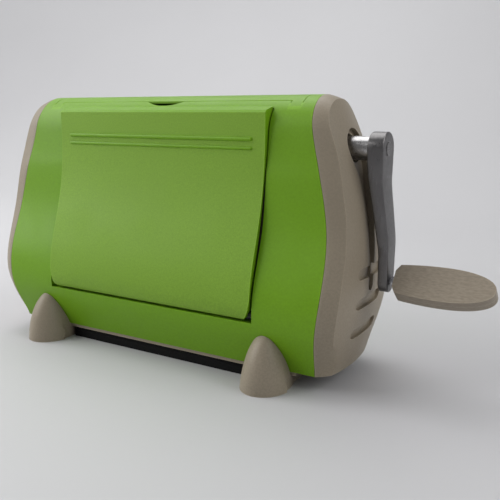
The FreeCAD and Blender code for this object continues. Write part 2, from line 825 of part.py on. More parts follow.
def make_door():
    """A door: a hollow skin with its hinge barrel and a pocket inside for the tray."""
    width = d.door_half_width
    barrel = bar(d.hinge_radius, (-width, -d.hinge_half_depth, d.hinge_height), 2 * width)
    form = door_form(0, width).fuse(barrel)
    above = closed(on_table(WIDE, -TALL, TALL, d.table_rise, TALL))
    form = form.cut(above).removeSplitter()
    depth = d.tray_thickness + d.tray_rib_height
    start, end = d.hinge_radius + d.door_skin, table_length() - d.door_skin
    pocket_form = closed(on_table(width - d.door_skin, start, end, d.table_rise - depth, d.table_rise + 1))
    beads = [trim_rib(d.trim_rib_height, d.trim_rib_radius),
             trim_rib(d.trim_rib_height - d.trim_rib_drop, d.trim_rib_radius * 0.85)]
    hollow = door_form(d.door_skin, width - 2 * d.door_skin)
    reach = closed(on_table(WIDE, start + d.door_skin, end - 2 * d.door_skin, -WIDE, d.table_rise))
    door = form.fuse(beads).cut([pocket_form, hollow.common(reach)])
    holes = [bar(d.hinge_pin_radius + d.fixed_clearance, (side * width, -d.hinge_half_depth, d.hinge_height),
                 d.hinge_pin_length - d.hinge_pin_reach, Vector(-side, 0, 0)) for side in (-1, 1)]
    return door.cut(holes)


def make_tray():
    """The feed table on a door's inside: a plate with long ribs that the plates slide on."""
    gap = d.tray_clearance
    half = d.door_half_width - d.door_skin - gap
    start, end = d.hinge_radius + d.door_skin + gap, table_length() - d.door_skin - gap
    rib_foot = d.table_rise - d.tray_rib_height
    plate = on_table(half, start, end, rib_foot - d.tray_thickness, rib_foot)
    ribs = []
    count = int(d.tray_rib_count)
    for index in range(count):
        middle = (index - (count - 1) / 2) * d.tray_rib_pitch
        rib = on_table(d.tray_rib_width / 2, start + d.tray_rib_width, end - d.tray_rib_width, rib_foot, d.table_rise)
        rib.translate(Vector(middle, 0, 0))
        ribs.append(rib)
    return closed(plate.fuse(ribs).removeSplitter())


def make_hinge_pins():
    """Two short pins, one in each end of the door's barrel."""
    start = d.door_half_width + d.hinge_pin_reach
    pins = [bar(d.hinge_pin_radius, (side * start, -d.hinge_half_depth, d.hinge_height), d.hinge_pin_length,
                Vector(-side, 0, 0)) for side in (-1, 1)]
    return Part.makeCompound(pins)


# Casing shells and the throat behind each door

def before_plane(behind, half_width, low, high):
    """The room in front of a plane behind the closed door's inner face, between two heights."""
    corners = [Vector(-half_width, -WIDE, low), Vector(-half_width, -inner_depth(low, behind), low),
               Vector(-half_width, -inner_depth(high, behind), high), Vector(-half_width, -WIDE, high)]
    face = Part.Face(Part.makePolygon(corners + corners[:1]))
    return face.extrude(Vector(2 * half_width, 0, 0))


def handle_outline(gap, low):
    """The room that the carrying handle takes in the crown, with a gap all round."""
    half, depth = d.handle_half_length, d.handle_half_depth + gap
    long = half + d.handle_end_length + gap
    middle = box((-half, -depth, low), (half, depth, TALL))
    ends = [box((side * (half - gap), -d.handle_end_half_depth - gap, low),
                (side * long, d.handle_end_half_depth + gap, TALL)) for side in (1,)]
    ends.append(mirrored(ends[0], Vector(1, 0, 0)))
    return middle.fuse(ends)


def make_shell(notched):
    """The front half of the casing with the door's recess; notched adds the finger hollow."""
    inside = casing_form(d.casing_wall)
    skin = casing_form().cut(inside)
    between = beyond_seam(-d.parting_gap)
    trims = [between, mirrored(between, Vector(1, 0, 0))]
    trims.append(box((-WIDE, -d.parting_gap / 2, 0), (WIDE, WIDE, TALL)))
    bed = d.base_half_depth - d.flange_width
    trims.append(box((-WIDE, -bed, 0), (WIDE, bed, d.base_height + d.casing_wall)))
    trims.append(handle_outline(d.handle_gap, CORNER.z))
    if notched:
        length, depth = d.notch_half_length, d.notch_depth
        radius = (length ** 2 + depth ** 2) / (2 * depth)
        edge = d.handle_half_depth + d.handle_gap
        scoop = bar(radius, (0, radius - edge - depth, CORNER.z), TALL, Vector(0, 0, 1))
        trims.append(scoop.common(box((-WIDE, -WIDE, 0), (WIDE, -edge + 1, TALL))))
    opening = d.door_half_width + d.door_side_gap
    cheek_end = opening + d.cheek_thickness
    behind = d.throat_gap + d.throat_thickness
    brim = d.door_top_height + d.door_top_gap
    cheeks = before_plane(behind, cheek_end, d.ledge_height - d.cheek_thickness, brim + d.cheek_thickness)
    cheeks = cheeks.common(casing_form(d.casing_wall / 2))
    shell = skin.fuse(cheeks).cut(trims + [before_plane(behind + d.cheek_thickness, opening, d.ledge_height, brim)])
    pin = d.hinge_pin_radius + d.running_clearance
    return shell.cut(bar(pin, (-cheek_end - 1, -d.hinge_half_depth, d.hinge_height), 2 * cheek_end + 2))


def make_throat(notched):
    """The wall behind a door, with the feed slot and a lip that leads to the rollers."""
    low, high = d.table_rise + d.throat_gap, d.table_rise + d.throat_gap + d.throat_thickness
    half = d.door_half_width + d.door_side_gap - d.fit_gap
    wall = closed(on_table(half, -TALL / 2, TALL, low, high))
    over_barrel = d.hinge_height + d.hinge_radius + d.fit_gap
    room = casing_form(d.casing_wall + d.fit_gap).common(box((-WIDE, -WIDE, over_barrel), (WIDE, 0, TALL)))
    slot_top = d.nip_height + d.nip_gap + d.slot_headroom
    wall = wall.common(room).cut(box((-d.slot_half_width, -WIDE, 0), (d.slot_half_width, WIDE, slot_top)))
    depth = inner_depth(slot_top, d.throat_gap + d.throat_thickness / 2)
    lip = box((-d.slot_half_width, -depth, slot_top),
              (d.slot_half_width, -d.roller_radius - d.lip_clearance, slot_top + d.lip_thickness))
    if notched:
        pit = d.notch_half_length + d.well_wall + 2 * d.fit_gap
        wall = wall.cut(box((-pit, -WIDE, d.well_floor - d.well_wall - d.fit_gap), (pit, 0, TALL)))
    return wall.fuse(lip).removeSplitter()


def make_bed():
    """A folded sheet that carries the plates from the open door to the lower roller."""
    top = d.nip_height - d.bed_drop
    below = top - d.bed_thickness
    reach = math.sqrt(max(d.roller_radius ** 2 - (below - d.lower_axis) ** 2, 0)) + d.bed_clearance
    front = inner_depth(d.nip_height - d.bed_flange, d.throat_gap + d.throat_thickness)
    front = min(front, inner_depth(d.nip_height, d.throat_gap + d.throat_thickness)) - d.fit_gap
    half = d.frame_inner
    sheet_form = box((-half, -front, below), (half, -reach, top))
    flange = box((-half, -front, top - d.bed_flange), (half, -front + d.bed_thickness, top))
    return sheet_form.fuse(flange).removeSplitter()


# Base

def make_foot():
    """One foot rail: a rounded nose front and back and a flat bar between under the pan."""
    nose = Part.makeSphere(d.foot_height)
    stretch = FreeCAD.Matrix()
    stretch.scale(d.foot_half_width / d.foot_height, d.foot_half_length / d.foot_height, 1.0)
    nose = nose.transformGeometry(stretch)
    noses = []
    for side in (-1, 1):
        copy = nose.copy()
        copy.translate(Vector(d.foot_place, side * d.foot_nose_place, 0))
        noses.append(copy)
    rail = box((d.foot_place - d.rail_half_width, -d.foot_nose_place, 0),
               (d.foot_place + d.rail_half_width, d.foot_nose_place, d.pan_underside))
    floor = box((-WIDE, -WIDE, -TALL), (WIDE, WIDE, 0))
    edge = d.base_half_depth - d.pan_inset + d.fit_gap
    under_pan = box((-WIDE, -edge, d.pan_underside), (WIDE, edge, TALL))
    return rail.fuse(noses).cut([floor, under_pan, casing_form(-d.fit_gap)])


# Carrying handle

def make_handle():
    """The handle's bar: flush with the crown, hollow below, with wider ends."""
    low = d.crown_height - d.handle_height
    body = casing_form(0, -WIDE, WIDE).common(handle_outline(0, low))
    wall = d.handle_wall
    length = d.handle_half_length - 2 * wall
    depth = d.handle_half_depth - wall
    return body.cut(box((-length, -depth, 0), (length, depth, d.crown_height - wall)))


def make_well():
    """The pan under the handle, seen through the finger hollow."""
    wall = d.well_wall
    room = casing_form(d.casing_wall + d.fit_gap)
    notch = d.handle_half_depth + d.handle_gap + d.notch_depth
    forms = []
    for grow, low in ((wall, d.well_floor - wall), (0, d.well_floor)):
        form = handle_outline(d.fit_gap + d.handle_gap + grow, low)
        pit = d.notch_half_length + grow + d.fit_gap
        forms.append(form.fuse(box((-pit, -notch - grow - d.fit_gap, low), (pit, 0, TALL))))
    outer, inner = forms[0].common(room), forms[1]
    hole = d.leg_radius + d.fit_gap
    holes = [bar(hole, (side * d.leg_place, 0, CORNER.z), TALL, Vector(0, 0, 1)) for side in (-1, 1)]
    return outer.cut([inner] + holes)


# Frame, ties and base plates

BUSH_HOLE = "Sizes.shaft_radius + Sizes.bush_wall + Sizes.fixed_clearance"
SCREW_HOLE = "Sizes.screw_radius + Sizes.fixed_clearance"
CRANK_HOLE = "Sizes.crank_journal_radius + Sizes.bush_wall + Sizes.fixed_clearance"
SPINDLE_HOLE = "Sizes.spindle_radius + Sizes.bush_wall + Sizes.fixed_clearance"
IDLER_HOLE = "Sizes.spindle_radius + Sizes.fixed_clearance"
LOW_POSTS = [(f"{sign}{at.post_low_place}", at.post_low_height) for sign in ("", "-")]
TOP_POSTS = [(f"{sign}{at.post_top_place}", at.post_top_height) for sign in ("", "-")]
POSTS = LOW_POSTS + TOP_POSTS
TIES = [(at.tie_low_place, at.tie_low_height), (f"-{at.tie_low_place}", at.tie_low_height),
        ("Sizes.tie_high_place", at.tie_high_height), ("-Sizes.tie_high_place", at.tie_high_height)]


def both_sides(half):
    """A symmetric outline's corners from the ones on its positive side, from low to high."""
    return half + [(f"-({y})", z) for y, z in reversed(half)]


def make_frame_plate(label, side):
    """An upright plate with its bearing holes and a foot turned inwards."""
    name = label.title().replace("_", "")
    body = doc.addObject("PartDesign::Body", f"{name}Body")
    start = at.frame_inner if side > 0 else f"-{at.frame_outer}"
    outline = sketch_in(body, "YZ_Plane", f"{name}Outline", start)
    polygon(outline, both_sides([
        (at.frame_foot_half_depth, at.pan_top),
        (at.frame_hip_half_depth, at.frame_hip_height),
        (at.frame_top_half_depth, at.frame_top),
    ]))
    for height in (at.lower_axis, at.upper_axis):
        round_hole(outline, "0", height, BUSH_HOLE)
    for place_y, place_z in TIES:
        round_hole(outline, place_y, place_z, SCREW_HOLE)
    if side > 0:
        round_hole(outline, "0", at.idler_axis, IDLER_HOLE)
        round_hole(outline, "0", at.crank_axis, CRANK_HOLE)
        for place_y, place_z in POSTS:
            round_hole(outline, place_y, place_z, SCREW_HOLE)
    pad(body, outline, "Sizes.frame_thickness")
    foot_start = f"{at.frame_inner} - Sizes.frame_flange" if side > 0 else f"-{at.frame_inner}"
    foot = block(f"{name}Foot", ("Sizes.frame_flange", f"2 * {at.frame_foot_half_depth}", "Sizes.frame_flange_thickness"),
                 (foot_start, f"-{at.frame_foot_half_depth}", at.pan_top))
    whole = fused(f"{name}Blank", [body, foot])
    return cut(f"{name}Part", whole, group(f"{name}Holes", foot_rods(name, SCREW_HOLE, side)))


def foot_rods(name, radius, side):
    """The two upright screw shanks through one plate's foot."""
    middle = f"{'' if side > 0 else '-'}({at.frame_inner} - Sizes.frame_flange / 2)"
    return [rod(f"{name}Foot{index}", radius, "Sizes.frame_screw_depth",
                (middle, f"{sign}{at.frame_screw_place}", f"{at.flange_top} - Sizes.frame_screw_depth"), ALONG_Z)
            for index, sign in enumerate(("", "-"))]


def make_frame_screws():
    """Four screws that hold the plates' feet down on the pan."""
    screws = []
    for side, name in ((1, "RightFootScrew"), (-1, "LeftFootScrew")):
        middle = f"{'' if side > 0 else '-'}({at.frame_inner} - Sizes.frame_flange / 2)"
        for index, (shank, sign) in enumerate(zip(foot_rods(name, "Sizes.screw_radius", side), ("", "-"))):
            head = rod(f"{name}Head{index}", "Sizes.screw_head_radius", "Sizes.screw_head_height",
                       (middle, f"{sign}{at.frame_screw_place}", at.flange_top), ALONG_Z)
            screws.append(fused(f"{name}{index}", [shank, head]))
    return group("FrameScrews", screws)


def side_screws(name, places, face, side, depth="Sizes.screw_depth"):
    """Screws along X whose heads lie on a face, outwards on the given side."""
    screws = []
    for index, (y, z) in enumerate(places):
        sign = "" if side > 0 else "-"
        shank_start = f"{face} - {depth}" if side > 0 else f"-{face}"
        head_start = face if side > 0 else f"-{face} - Sizes.screw_head_height"
        shank = rod(f"{name}Shank{index}", "Sizes.screw_radius", depth, (shank_start, y, z))
        head = rod(f"{name}Head{index}", "Sizes.screw_head_radius", "Sizes.screw_head_height", (head_start, y, z))
        screws.append(fused(f"{name}{index}", [shank, head]))
    return screws


def make_tie_bars():
    """Four round bars between the plates, bored at both ends for their screws."""
    bars = []
    for index, (y, z) in enumerate(TIES):
        body = rod(f"Tie{index}Bar", "Sizes.tie_radius", f"2 * {at.frame_inner}", (f"-{at.frame_inner}", y, z))
        depth = "(Sizes.screw_depth - Sizes.frame_thickness)"
        bores = [rod(f"Tie{index}Bore{end}", SCREW_HOLE, depth, (start, y, z))
                 for end, start in enumerate((f"-{at.frame_inner}", f"{at.frame_inner} - {depth}"))]
        bars.append(cut(f"Tie{index}", body, group(f"Tie{index}Bores", bores)))
    return group("TieBars", bars)


def make_base_pan():
    """The pan that closes the casing below, with a raised middle under the frame."""
    length = f"({at.seam_base} - Sizes.pan_end_inset)"
    depth = "(Sizes.base_half_depth - Sizes.pan_inset)"
    rim = block("PanRim", (f"2 * {length}", f"2 * {depth}", "Sizes.pan_thickness"),
                (f"-{length}", f"-{depth}", at.pan_underside))
    inner = "(Sizes.base_half_depth - Sizes.flange_width - Sizes.fit_gap)"
    step = block("PanStep", (f"2 * {at.frame_outer} + 2 * Sizes.flange_width", f"2 * {inner}",
                             "Sizes.pan_thickness + Sizes.pan_step"),
                 (f"-{at.frame_outer} - Sizes.flange_width", f"-{inner}", at.pan_underside))
    holes = foot_rods("PanRight", SCREW_HOLE, 1) + foot_rods("PanLeft", SCREW_HOLE, -1)
    return cut("BasePan", fused("PanBlank", [rim, step]), group("PanHoles", holes))


def make_rubber_base():
    """The dark pad under the middle of the machine, stepped in above."""
    lower = block("PadSole", (f"2 * {at.pad_half_length}", f"2 * {at.pad_half_depth}", "Sizes.pad_step_height"),
                  (f"-{at.pad_half_length}", f"-{at.pad_half_depth}", "0"))
    length, depth = f"({at.pad_half_length} - Sizes.pad_step)", f"({at.pad_half_depth} - Sizes.pad_step)"
    upper = block("PadNeck", (f"2 * {length}", f"2 * {depth}", at.pan_underside), (f"-{length}", f"-{depth}", "0"))
    return fused("RubberBase", [lower, upper])


# Rollers and bushes

def make_roller(name, axis, wide_end):
    """A steel roller turned in one piece with its shaft, grooved at the left for a clip."""
    half = f"({at.frame_inner} - Sizes.roller_side_gap)"
    drum = rod(f"{name}Drum", at.roller_radius, f"2 * {half}", (f"-{half}", "0", axis))
    left = f"({at.frame_outer} + Sizes.shaft_tail)"
    shaft = rod(f"{name}Shaft", "Sizes.shaft_radius", f"{left} + {wide_end}", (f"-{left}", "0", axis))
    spindle = rod(f"{name}Spindle", "Sizes.spindle_radius", f"{at.bridge_end} + Sizes.shaft_tail", ("0", "0", axis))
    groove_start = f"-{at.frame_outer} - Sizes.clip_thickness - 2 * Sizes.running_clearance"
    slot_width = "Sizes.clip_thickness + Sizes.running_clearance"
    slot = rod(f"{name}Slot", "Sizes.shaft_radius", slot_width, (groove_start, "0", axis))
    core = rod(f"{name}Core", "Sizes.shaft_radius - Sizes.clip_groove_depth", slot_width, (groove_start, "0", axis))
    return cut(f"{name}Part", fused(f"{name}Blank", [drum, shaft, spindle]), cut(f"{name}Groove", slot, core))


def make_clip(name, axis):
    """An open snap ring in a shaft's groove."""
    start = f"-{at.frame_outer} - Sizes.clip_thickness - Sizes.running_clearance"
    core = "Sizes.shaft_radius - Sizes.clip_groove_depth + Sizes.fixed_clearance"
    ring = rod(f"{name}Ring", f"{core} + Sizes.clip_width", "Sizes.clip_thickness", (start, "0", axis))
    hole = rod(f"{name}Hole", core, "Sizes.clip_thickness", (start, "0", axis))
    mouth = block(f"{name}Mouth", ("Sizes.clip_thickness", "2 * Sizes.clip_width", "2 * Sizes.shaft_radius"),
                  (start, "-Sizes.clip_width", f"{axis} - 2 * Sizes.shaft_radius"))
    return cut(f"{name}Part", ring, group(f"{name}Gap", [hole, mouth]))


def make_bush(name, radius, side, axis):
    """A flanged bush pressed into a plate from the inside."""
    outer = f"{radius} + Sizes.bush_wall"
    flange = "Sizes.bush_flange_thickness"
    start = at.frame_inner if side > 0 else f"-{at.frame_outer}"
    flange_start = f"{at.frame_inner} - {flange}" if side > 0 else f"-{at.frame_inner}"
    bore_start = f"{at.frame_inner} - {flange}" if side > 0 else f"-{at.frame_outer}"
    sleeve = rod(f"{name}Sleeve", outer, "Sizes.frame_thickness", (start, "0", axis))
    collar = rod(f"{name}Collar", f"{outer} + Sizes.bush_flange_width", flange, (flange_start, "0", axis))
    bore = rod(f"{name}Bore", f"{radius} + Sizes.running_clearance", f"Sizes.frame_thickness + {flange}",
               (bore_start, "0", axis))
    return cut(name, fused(f"{name}Blank", [sleeve, collar]), bore)


def make_plain_bush(name, radius, axis):
    """A plain bush in the gear bridge."""
    spot = (at.bridge_start, "0", axis)
    body = rod(f"{name}Sleeve", f"{radius} + Sizes.bush_wall", "Sizes.bridge_thickness", spot)
    bore = rod(f"{name}Bore", f"{radius} + Sizes.running_clearance", "Sizes.bridge_thickness", spot)
    return cut(name, body, bore)


# Gears

def involute(angle):
    """The involute function of a pressure angle."""
    return math.tan(angle) - angle


def gear_outline(teeth):
    """Corners of a gear with its first tooth along +Y, by the involute formula."""
    pressure = math.radians(d.pressure_angle)
    pitch = d.gear_module * teeth / 2
    base = pitch * math.cos(pressure)
    tip = pitch + d.gear_module * d.addendum_share
    root = pitch - d.gear_module * d.dedendum_share
    half = math.pi / (2 * teeth) - d.tooth_backlash / pitch + involute(pressure)
    low = max(base, root)
    steps = 3
    flank_points = [(root, half)] if root < base else []
    for step in range(steps + 1):
        radius = low + (tip - low) * step / steps
        flank_points.append((radius, half - involute(math.acos(base / radius))))
    corners = []
    for tooth in range(teeth):
        middle = 2 * math.pi * tooth / teeth
        corners += [(radius, middle - angle) for radius, angle in flank_points]
        corners += [(radius, middle + angle) for radius, angle in reversed(flank_points)]
    return [Vector(0, radius * math.cos(angle), radius * math.sin(angle)) for radius, angle in corners]


def make_gear(teeth, width, start, axis, bore, tooth_angle):
    """A spur gear along X with one tooth at the given angle, measured from +Y towards +Z."""
    corners = gear_outline(int(teeth))
    face = Part.Face(Part.makePolygon(corners + corners[:1]))
    blank = face.extrude(Vector(width, 0, 0)).cut(bar(bore, (0, 0, 0), width))
    blank.rotate(Vector(), Vector(1, 0, 0), tooth_angle)
    blank.translate(Vector(start, 0, axis))
    return blank


def tooth_down(teeth):
    """The angle that points a tooth straight down."""
    return -90.0


def gap_up(teeth):
    """The angle that puts the middle of a gap straight up."""
    return 90.0 + 180.0 / teeth


# Gear bridge and its posts

def make_gear_bridge():
    """The outer plate that carries the far ends of the gear train's shafts."""
    body = doc.addObject("PartDesign::Body", "GearBridgeBody")
    outline = sketch_in(body, "YZ_Plane", "GearBridgeOutline", at.bridge_start)
    edge, corner = "Sizes.bridge_edge", "Sizes.bridge_corner"
    low_out, top_out = f"{at.post_low_place} + {edge}", f"{at.post_top_place} + {edge}"
    polygon(outline, both_sides([
        ("Sizes.bridge_half_width", f"{at.lower_axis} - Sizes.bridge_half_width"),
        ("Sizes.bridge_half_width", f"{at.post_low_height} - {edge}"),
        (low_out, f"{at.post_low_height} - {edge}"),
        (low_out, f"{at.post_low_height} + {edge}"),
        (top_out, f"{at.post_top_height} + {edge} - {corner}"),
        (f"{top_out} - {corner}", f"{at.post_top_height} + {edge}"),
    ]))
    for height in (at.lower_axis, at.upper_axis):
        round_hole(outline, "0", height, SPINDLE_HOLE)
    round_hole(outline, "0", at.idler_axis, IDLER_HOLE)
    round_hole(outline, "0", at.crank_axis, CRANK_HOLE)
    for place_y, place_z in POSTS:
        round_hole(outline, place_y, place_z, SCREW_HOLE)
    pad(body, outline, "Sizes.bridge_thickness")
    return body


def make_bridge_posts():
    """Four posts riveted into the right-hand plate and tapped at their outer ends."""
    posts = []
    reach = f"{at.bridge_start} - {at.frame_outer}"
    for index, (y, z) in enumerate(POSTS):
        post = rod(f"Post{index}Body", "Sizes.post_radius", reach, (at.frame_outer, y, z))
        rivet = rod(f"Post{index}Rivet", "Sizes.screw_radius", "Sizes.frame_thickness", (at.frame_inner, y, z))
        depth = "(Sizes.screw_depth - Sizes.bridge_thickness)"
        bore = rod(f"Post{index}Bore", SCREW_HOLE, depth, (f"{at.bridge_start} - {depth}", y, z))
        posts.append(cut(f"Post{index}", fused(f"Post{index}Blank", [post, rivet]), bore))
    return group("BridgePosts", posts)


# Crank and grip

def make_crank_shaft():
    """The shaft from the plate through the bridge to the arm, with the thick hub outside."""
    journal = rod("CrankJournal", "Sizes.crank_journal_radius", f"{at.bridge_end} + Sizes.hub_gap - {at.frame_inner}",
                  (at.frame_inner, "0", at.crank_axis))
    hub_start = f"({at.bridge_end} + Sizes.hub_gap)"
    hub = rod("CrankHub", "Sizes.hub_radius", f"{at.arm_start} - {hub_start}", (hub_start, "0", at.crank_axis))
    spigot = rod("CrankSpigot", "Sizes.spigot_radius", "Sizes.arm_boss_thickness", (at.arm_start, "0", at.crank_axis))
    return fused("CrankShaft", [journal, hub, spigot])


def arm_side():
    """The arm's bent section, drawn out across its full width."""
    inner, outer = d.arm_start, d.arm_start + d.arm_boss_thickness
    blade_in = inner + d.arm_offset
    blade_out = blade_in + d.arm_blade_thickness
    top = d.crank_axis + d.arm_boss_radius
    foot = d.crank_axis - d.arm_throw - d.arm_foot_radius
    bends = [(inner, d.arm_bend_top), (blade_in, d.arm_bend_foot), (blade_out, d.arm_outer_bend_foot),
             (outer, d.arm_outer_bend_top)]
    bends = [(x, d.crank_axis - drop) for x, drop in bends]
    corners = [(inner, top)] + bends[:2] + [(blade_in, foot), (blade_out, foot)] + bends[2:] + [(outer, top)]
    points = [Vector(x, -d.arm_boss_radius, z) for x, z in corners]
    solid_arm = Part.Face(Part.makePolygon(points + points[:1])).extrude(Vector(0, 2 * d.arm_boss_radius, 0))
    soft = []
    for edge in solid_arm.Edges:
        middle = edge.CenterOfMass
        if any(math.hypot(middle.x - x, middle.z - z) < d.arm_edge_round for x, z in bends):
            if abs(middle.y) < d.arm_edge_round:
                soft.append(edge)
    return solid_arm.makeFillet(d.arm_bend_radius, soft)


def hull_of_circles(first, first_radius, second, second_radius):
    """A flat face round two circles in the YZ plane, one above the other."""
    away = first.z - second.z
    lean_in = math.asin((first_radius - second_radius) / away)
    side = Vector(0, math.cos(lean_in), math.sin(lean_in))
    top = [first + side * first_radius, first + Vector(0, 0, first_radius)]
    foot = [second + side * second_radius, second - Vector(0, 0, second_radius)]
    edges = [
        Part.Arc(top[0], top[1], flip(top[0])),
        Part.LineSegment(flip(top[0]), flip(foot[0])),
        Part.Arc(flip(foot[0]), foot[1], foot[0]),
        Part.LineSegment(foot[0], top[0]),
    ]
    return closed_face([edge.toShape() for edge in edges])


def make_crank_arm():
    """The crank arm: a round boss, a set-off bend and a tapered blade."""
    pivot = d.crank_axis - d.arm_throw
    outline = hull_of_circles(Vector(0, 0, d.crank_axis), d.arm_boss_radius, Vector(0, 0, pivot), d.arm_foot_radius)
    outline.translate(Vector(d.arm_start - d.arm_offset, 0, 0))
    arm = arm_side().common(outline.extrude(Vector(WIDE, 0, 0)))
    try_edges = [edge for edge in arm.Edges if not edge.isClosed()]
    arm = arm.makeFillet(d.arm_edge_round, try_edges)
    bore = bar(d.spigot_radius + d.fixed_clearance, (0, 0, d.crank_axis), TALL)
    pin = bar(d.grip_pin_radius + d.fixed_clearance, (0, 0, pivot), TALL)
    return arm.cut([bore, pin])


def make_grip_pin():
    """The grip's pivot: a pin pressed into the arm, with a thicker neck before the grip."""
    pivot = f"({at.crank_axis} - Sizes.arm_throw)"
    blade = f"({at.arm_start} + Sizes.arm_offset)"
    face = f"({blade} + Sizes.arm_blade_thickness)"
    pin = rod("GripPinCore", "Sizes.grip_pin_radius", f"{at.grip_start} + Sizes.grip_pin_depth - {blade}",
              (blade, "0", pivot))
    neck = rod("GripPinNeck", "Sizes.grip_neck_radius", f"{at.grip_start} - {face} - Sizes.fit_gap",
               (face, "0", pivot))
    return fused("GripPin", [pin, neck])


def grip_outline():
    """The grip's outline seen from above: a spade with a narrow root and a round end."""
    root, corner = d.grip_root_half_width, d.grip_corner
    belly = Vector(d.grip_belly, d.grip_half_width, 0)
    side_points = [Vector(corner, root + corner, 0), Vector(d.grip_middle, d.grip_middle_half_width, 0), belly]
    curve = Part.BSplineCurve()
    curve.interpolate(Points=side_points, InitialTangent=Vector(1, d.grip_root_slope, 0), FinalTangent=Vector(1, 0, 0))
    tip = Vector(d.grip_length, 0, 0)
    round_end = Part.BSplineCurve()
    round_end.interpolate(Points=[belly, rim_point(math.pi / 6), rim_point(math.pi / 3), tip],
                          InitialTangent=Vector(1, 0, 0), FinalTangent=Vector(0, -1, 0))
    chamfer = Part.LineSegment(Vector(0, root, 0), side_points[0])
    near = [curve.toShape(), round_end.toShape(), chamfer.toShape()]
    far = [mirrored(edge, Vector(0, 1, 0)) for edge in near]
    end = Part.LineSegment(Vector(0, -root, 0), Vector(0, root, 0)).toShape()
    return closed_face(near + far + [end])


def rim_point(angle):
    """A point on the grip's rounded end, by its angle from the widest place."""
    run = d.grip_length - d.grip_belly
    return Vector(d.grip_belly + run * math.sin(angle), d.grip_half_width * math.cos(angle), 0)


def make_grip_half(side):
    """One moulding of the grip, above or below its joint line, with its outer rim rounded."""
    half = side * d.grip_thickness / 2
    body = grip_outline().extrude(Vector(0, 0, half))
    rim = [edge for edge in body.Edges if abs(edge.CenterOfMass.z - half) < d.fixed_clearance]
    body = body.makeFillet(d.grip_edge_round, rim)
    bore = bar(d.grip_pin_radius + d.running_clearance, (-1, 0, 0), d.grip_pin_depth + d.fit_gap + 1)
    body = body.cut(bore)
    body.rotate(Vector(), Vector(1, 0, 0), d.grip_tilt)
    body.translate(Vector(d.grip_start, 0, d.crank_axis - d.arm_throw))
    return body


# Handle's legs and what stops them

LEGS = (at.leg_place, f"-{at.leg_place}")


def make_handle_legs():
    """Two round legs under the handle, with collars that meet the yoke when it is up."""
    legs = []
    top = f"({at.crown_height} - Sizes.handle_wall)"
    collar_foot = f"({at.yoke_underside} - Sizes.handle_lift - Sizes.leg_collar_height)"
    for index, x in enumerate(LEGS):
        leg = rod(f"Leg{index}Bar", "Sizes.leg_radius", f"{top} - {collar_foot}", (x, "0", collar_foot), ALONG_Z)
        collar = rod(f"Leg{index}Collar", "Sizes.leg_collar_radius", "Sizes.leg_collar_height",
                     (x, "0", collar_foot), ALONG_Z)
        legs.append(fused(f"Leg{index}", [leg, collar]))
    return group("HandleLegs", legs)


def make_handle_yoke():
    """The bar between the plates that the legs slide through."""
    bar_block = block("YokeBar", (f"2 * {at.frame_inner}", "2 * Sizes.yoke_half_depth", "Sizes.yoke_thickness"),
                      (f"-{at.frame_inner}", "-Sizes.yoke_half_depth", at.yoke_underside))
    holes = [rod(f"YokeHole{index}", "Sizes.leg_radius + 2 * Sizes.running_clearance", "Sizes.yoke_thickness",
                 (x, "0", at.yoke_underside), ALONG_Z) for index, x in enumerate(LEGS)]
    return cut("HandleYoke", bar_block, group("YokeHoles", holes))


# The sub-parts

node("right_end_cap", solid("RightEndCap", make_right_end_cap()))
node("left_end_cap", solid("LeftEndCap", make_left_end_cap()))
node("front_shell", solid("FrontShell", make_shell(True)))
node("rear_shell", solid("RearShell", make_shell(False), HALF_TURN))
for label, turn in (("front", ALONG_Z), ("rear", HALF_TURN)):
    name = label.title()
    node(f"{label}_door", solid(f"{name}Door", make_door(), turn))
    node(f"{label}_tray", solid(f"{name}Tray", make_tray(), turn))
    node(f"{label}_door_pins", solid(f"{name}DoorPins", make_hinge_pins(), turn))
    node(f"{label}_throat", solid(f"{name}Throat", make_throat(label == "front"), turn))
    node(f"{label}_feed_bed", solid(f"{name}FeedBed", make_bed(), turn))
node("base_pan", make_base_pan())
node("rubber_base", make_rubber_base())
node("right_foot_rail", solid("RightFootRail", make_foot()))
node("left_foot_rail", solid("LeftFootRail", make_foot(), HALF_TURN))
node("right_frame_plate", make_frame_plate("right_frame_plate", 1))
node("left_frame_plate", make_frame_plate("left_frame_plate", -1))
node("tie_bars", make_tie_bars())
node("tie_screws", group("TieScrews", side_screws("TieScrewRight", TIES, at.frame_outer, 1)
                         + side_screws("TieScrewLeft", TIES, at.frame_outer, -1)))
node("frame_screws", make_frame_screws())
node("upper_roller", make_roller("UpperRoller", at.upper_axis, f"{at.drive_start} + Sizes.drive_width"))
node("lower_roller", make_roller("LowerRoller", at.lower_axis, f"{at.timing_start} + Sizes.timing_width"))
node("upper_roller_clip", make_clip("UpperClip", at.upper_axis))
node("lower_roller_clip", make_clip("LowerClip", at.lower_axis))
node("roller_bushes", group("RollerBushes", [
    make_bush(f"RollerBush{number}", "Sizes.shaft_radius", side, axis)
    for number, (side, axis) in enumerate(
        ((1, at.upper_axis), (1, at.lower_axis), (-1, at.upper_axis), (-1, at.lower_axis)))]))
node("bridge_bushes", group("BridgeBushes", [
    make_plain_bush("UpperBridgeBush", "Sizes.spindle_radius", at.upper_axis),
    make_plain_bush("LowerBridgeBush", "Sizes.spindle_radius", at.lower_axis)]))
node("crank_bushes", group("CrankBushes", [
    make_bush("CrankPlateBush", "Sizes.crank_journal_radius", 1, at.crank_axis),
    make_plain_bush("CrankBridgeBush", "Sizes.crank_journal_radius", at.crank_axis)]))

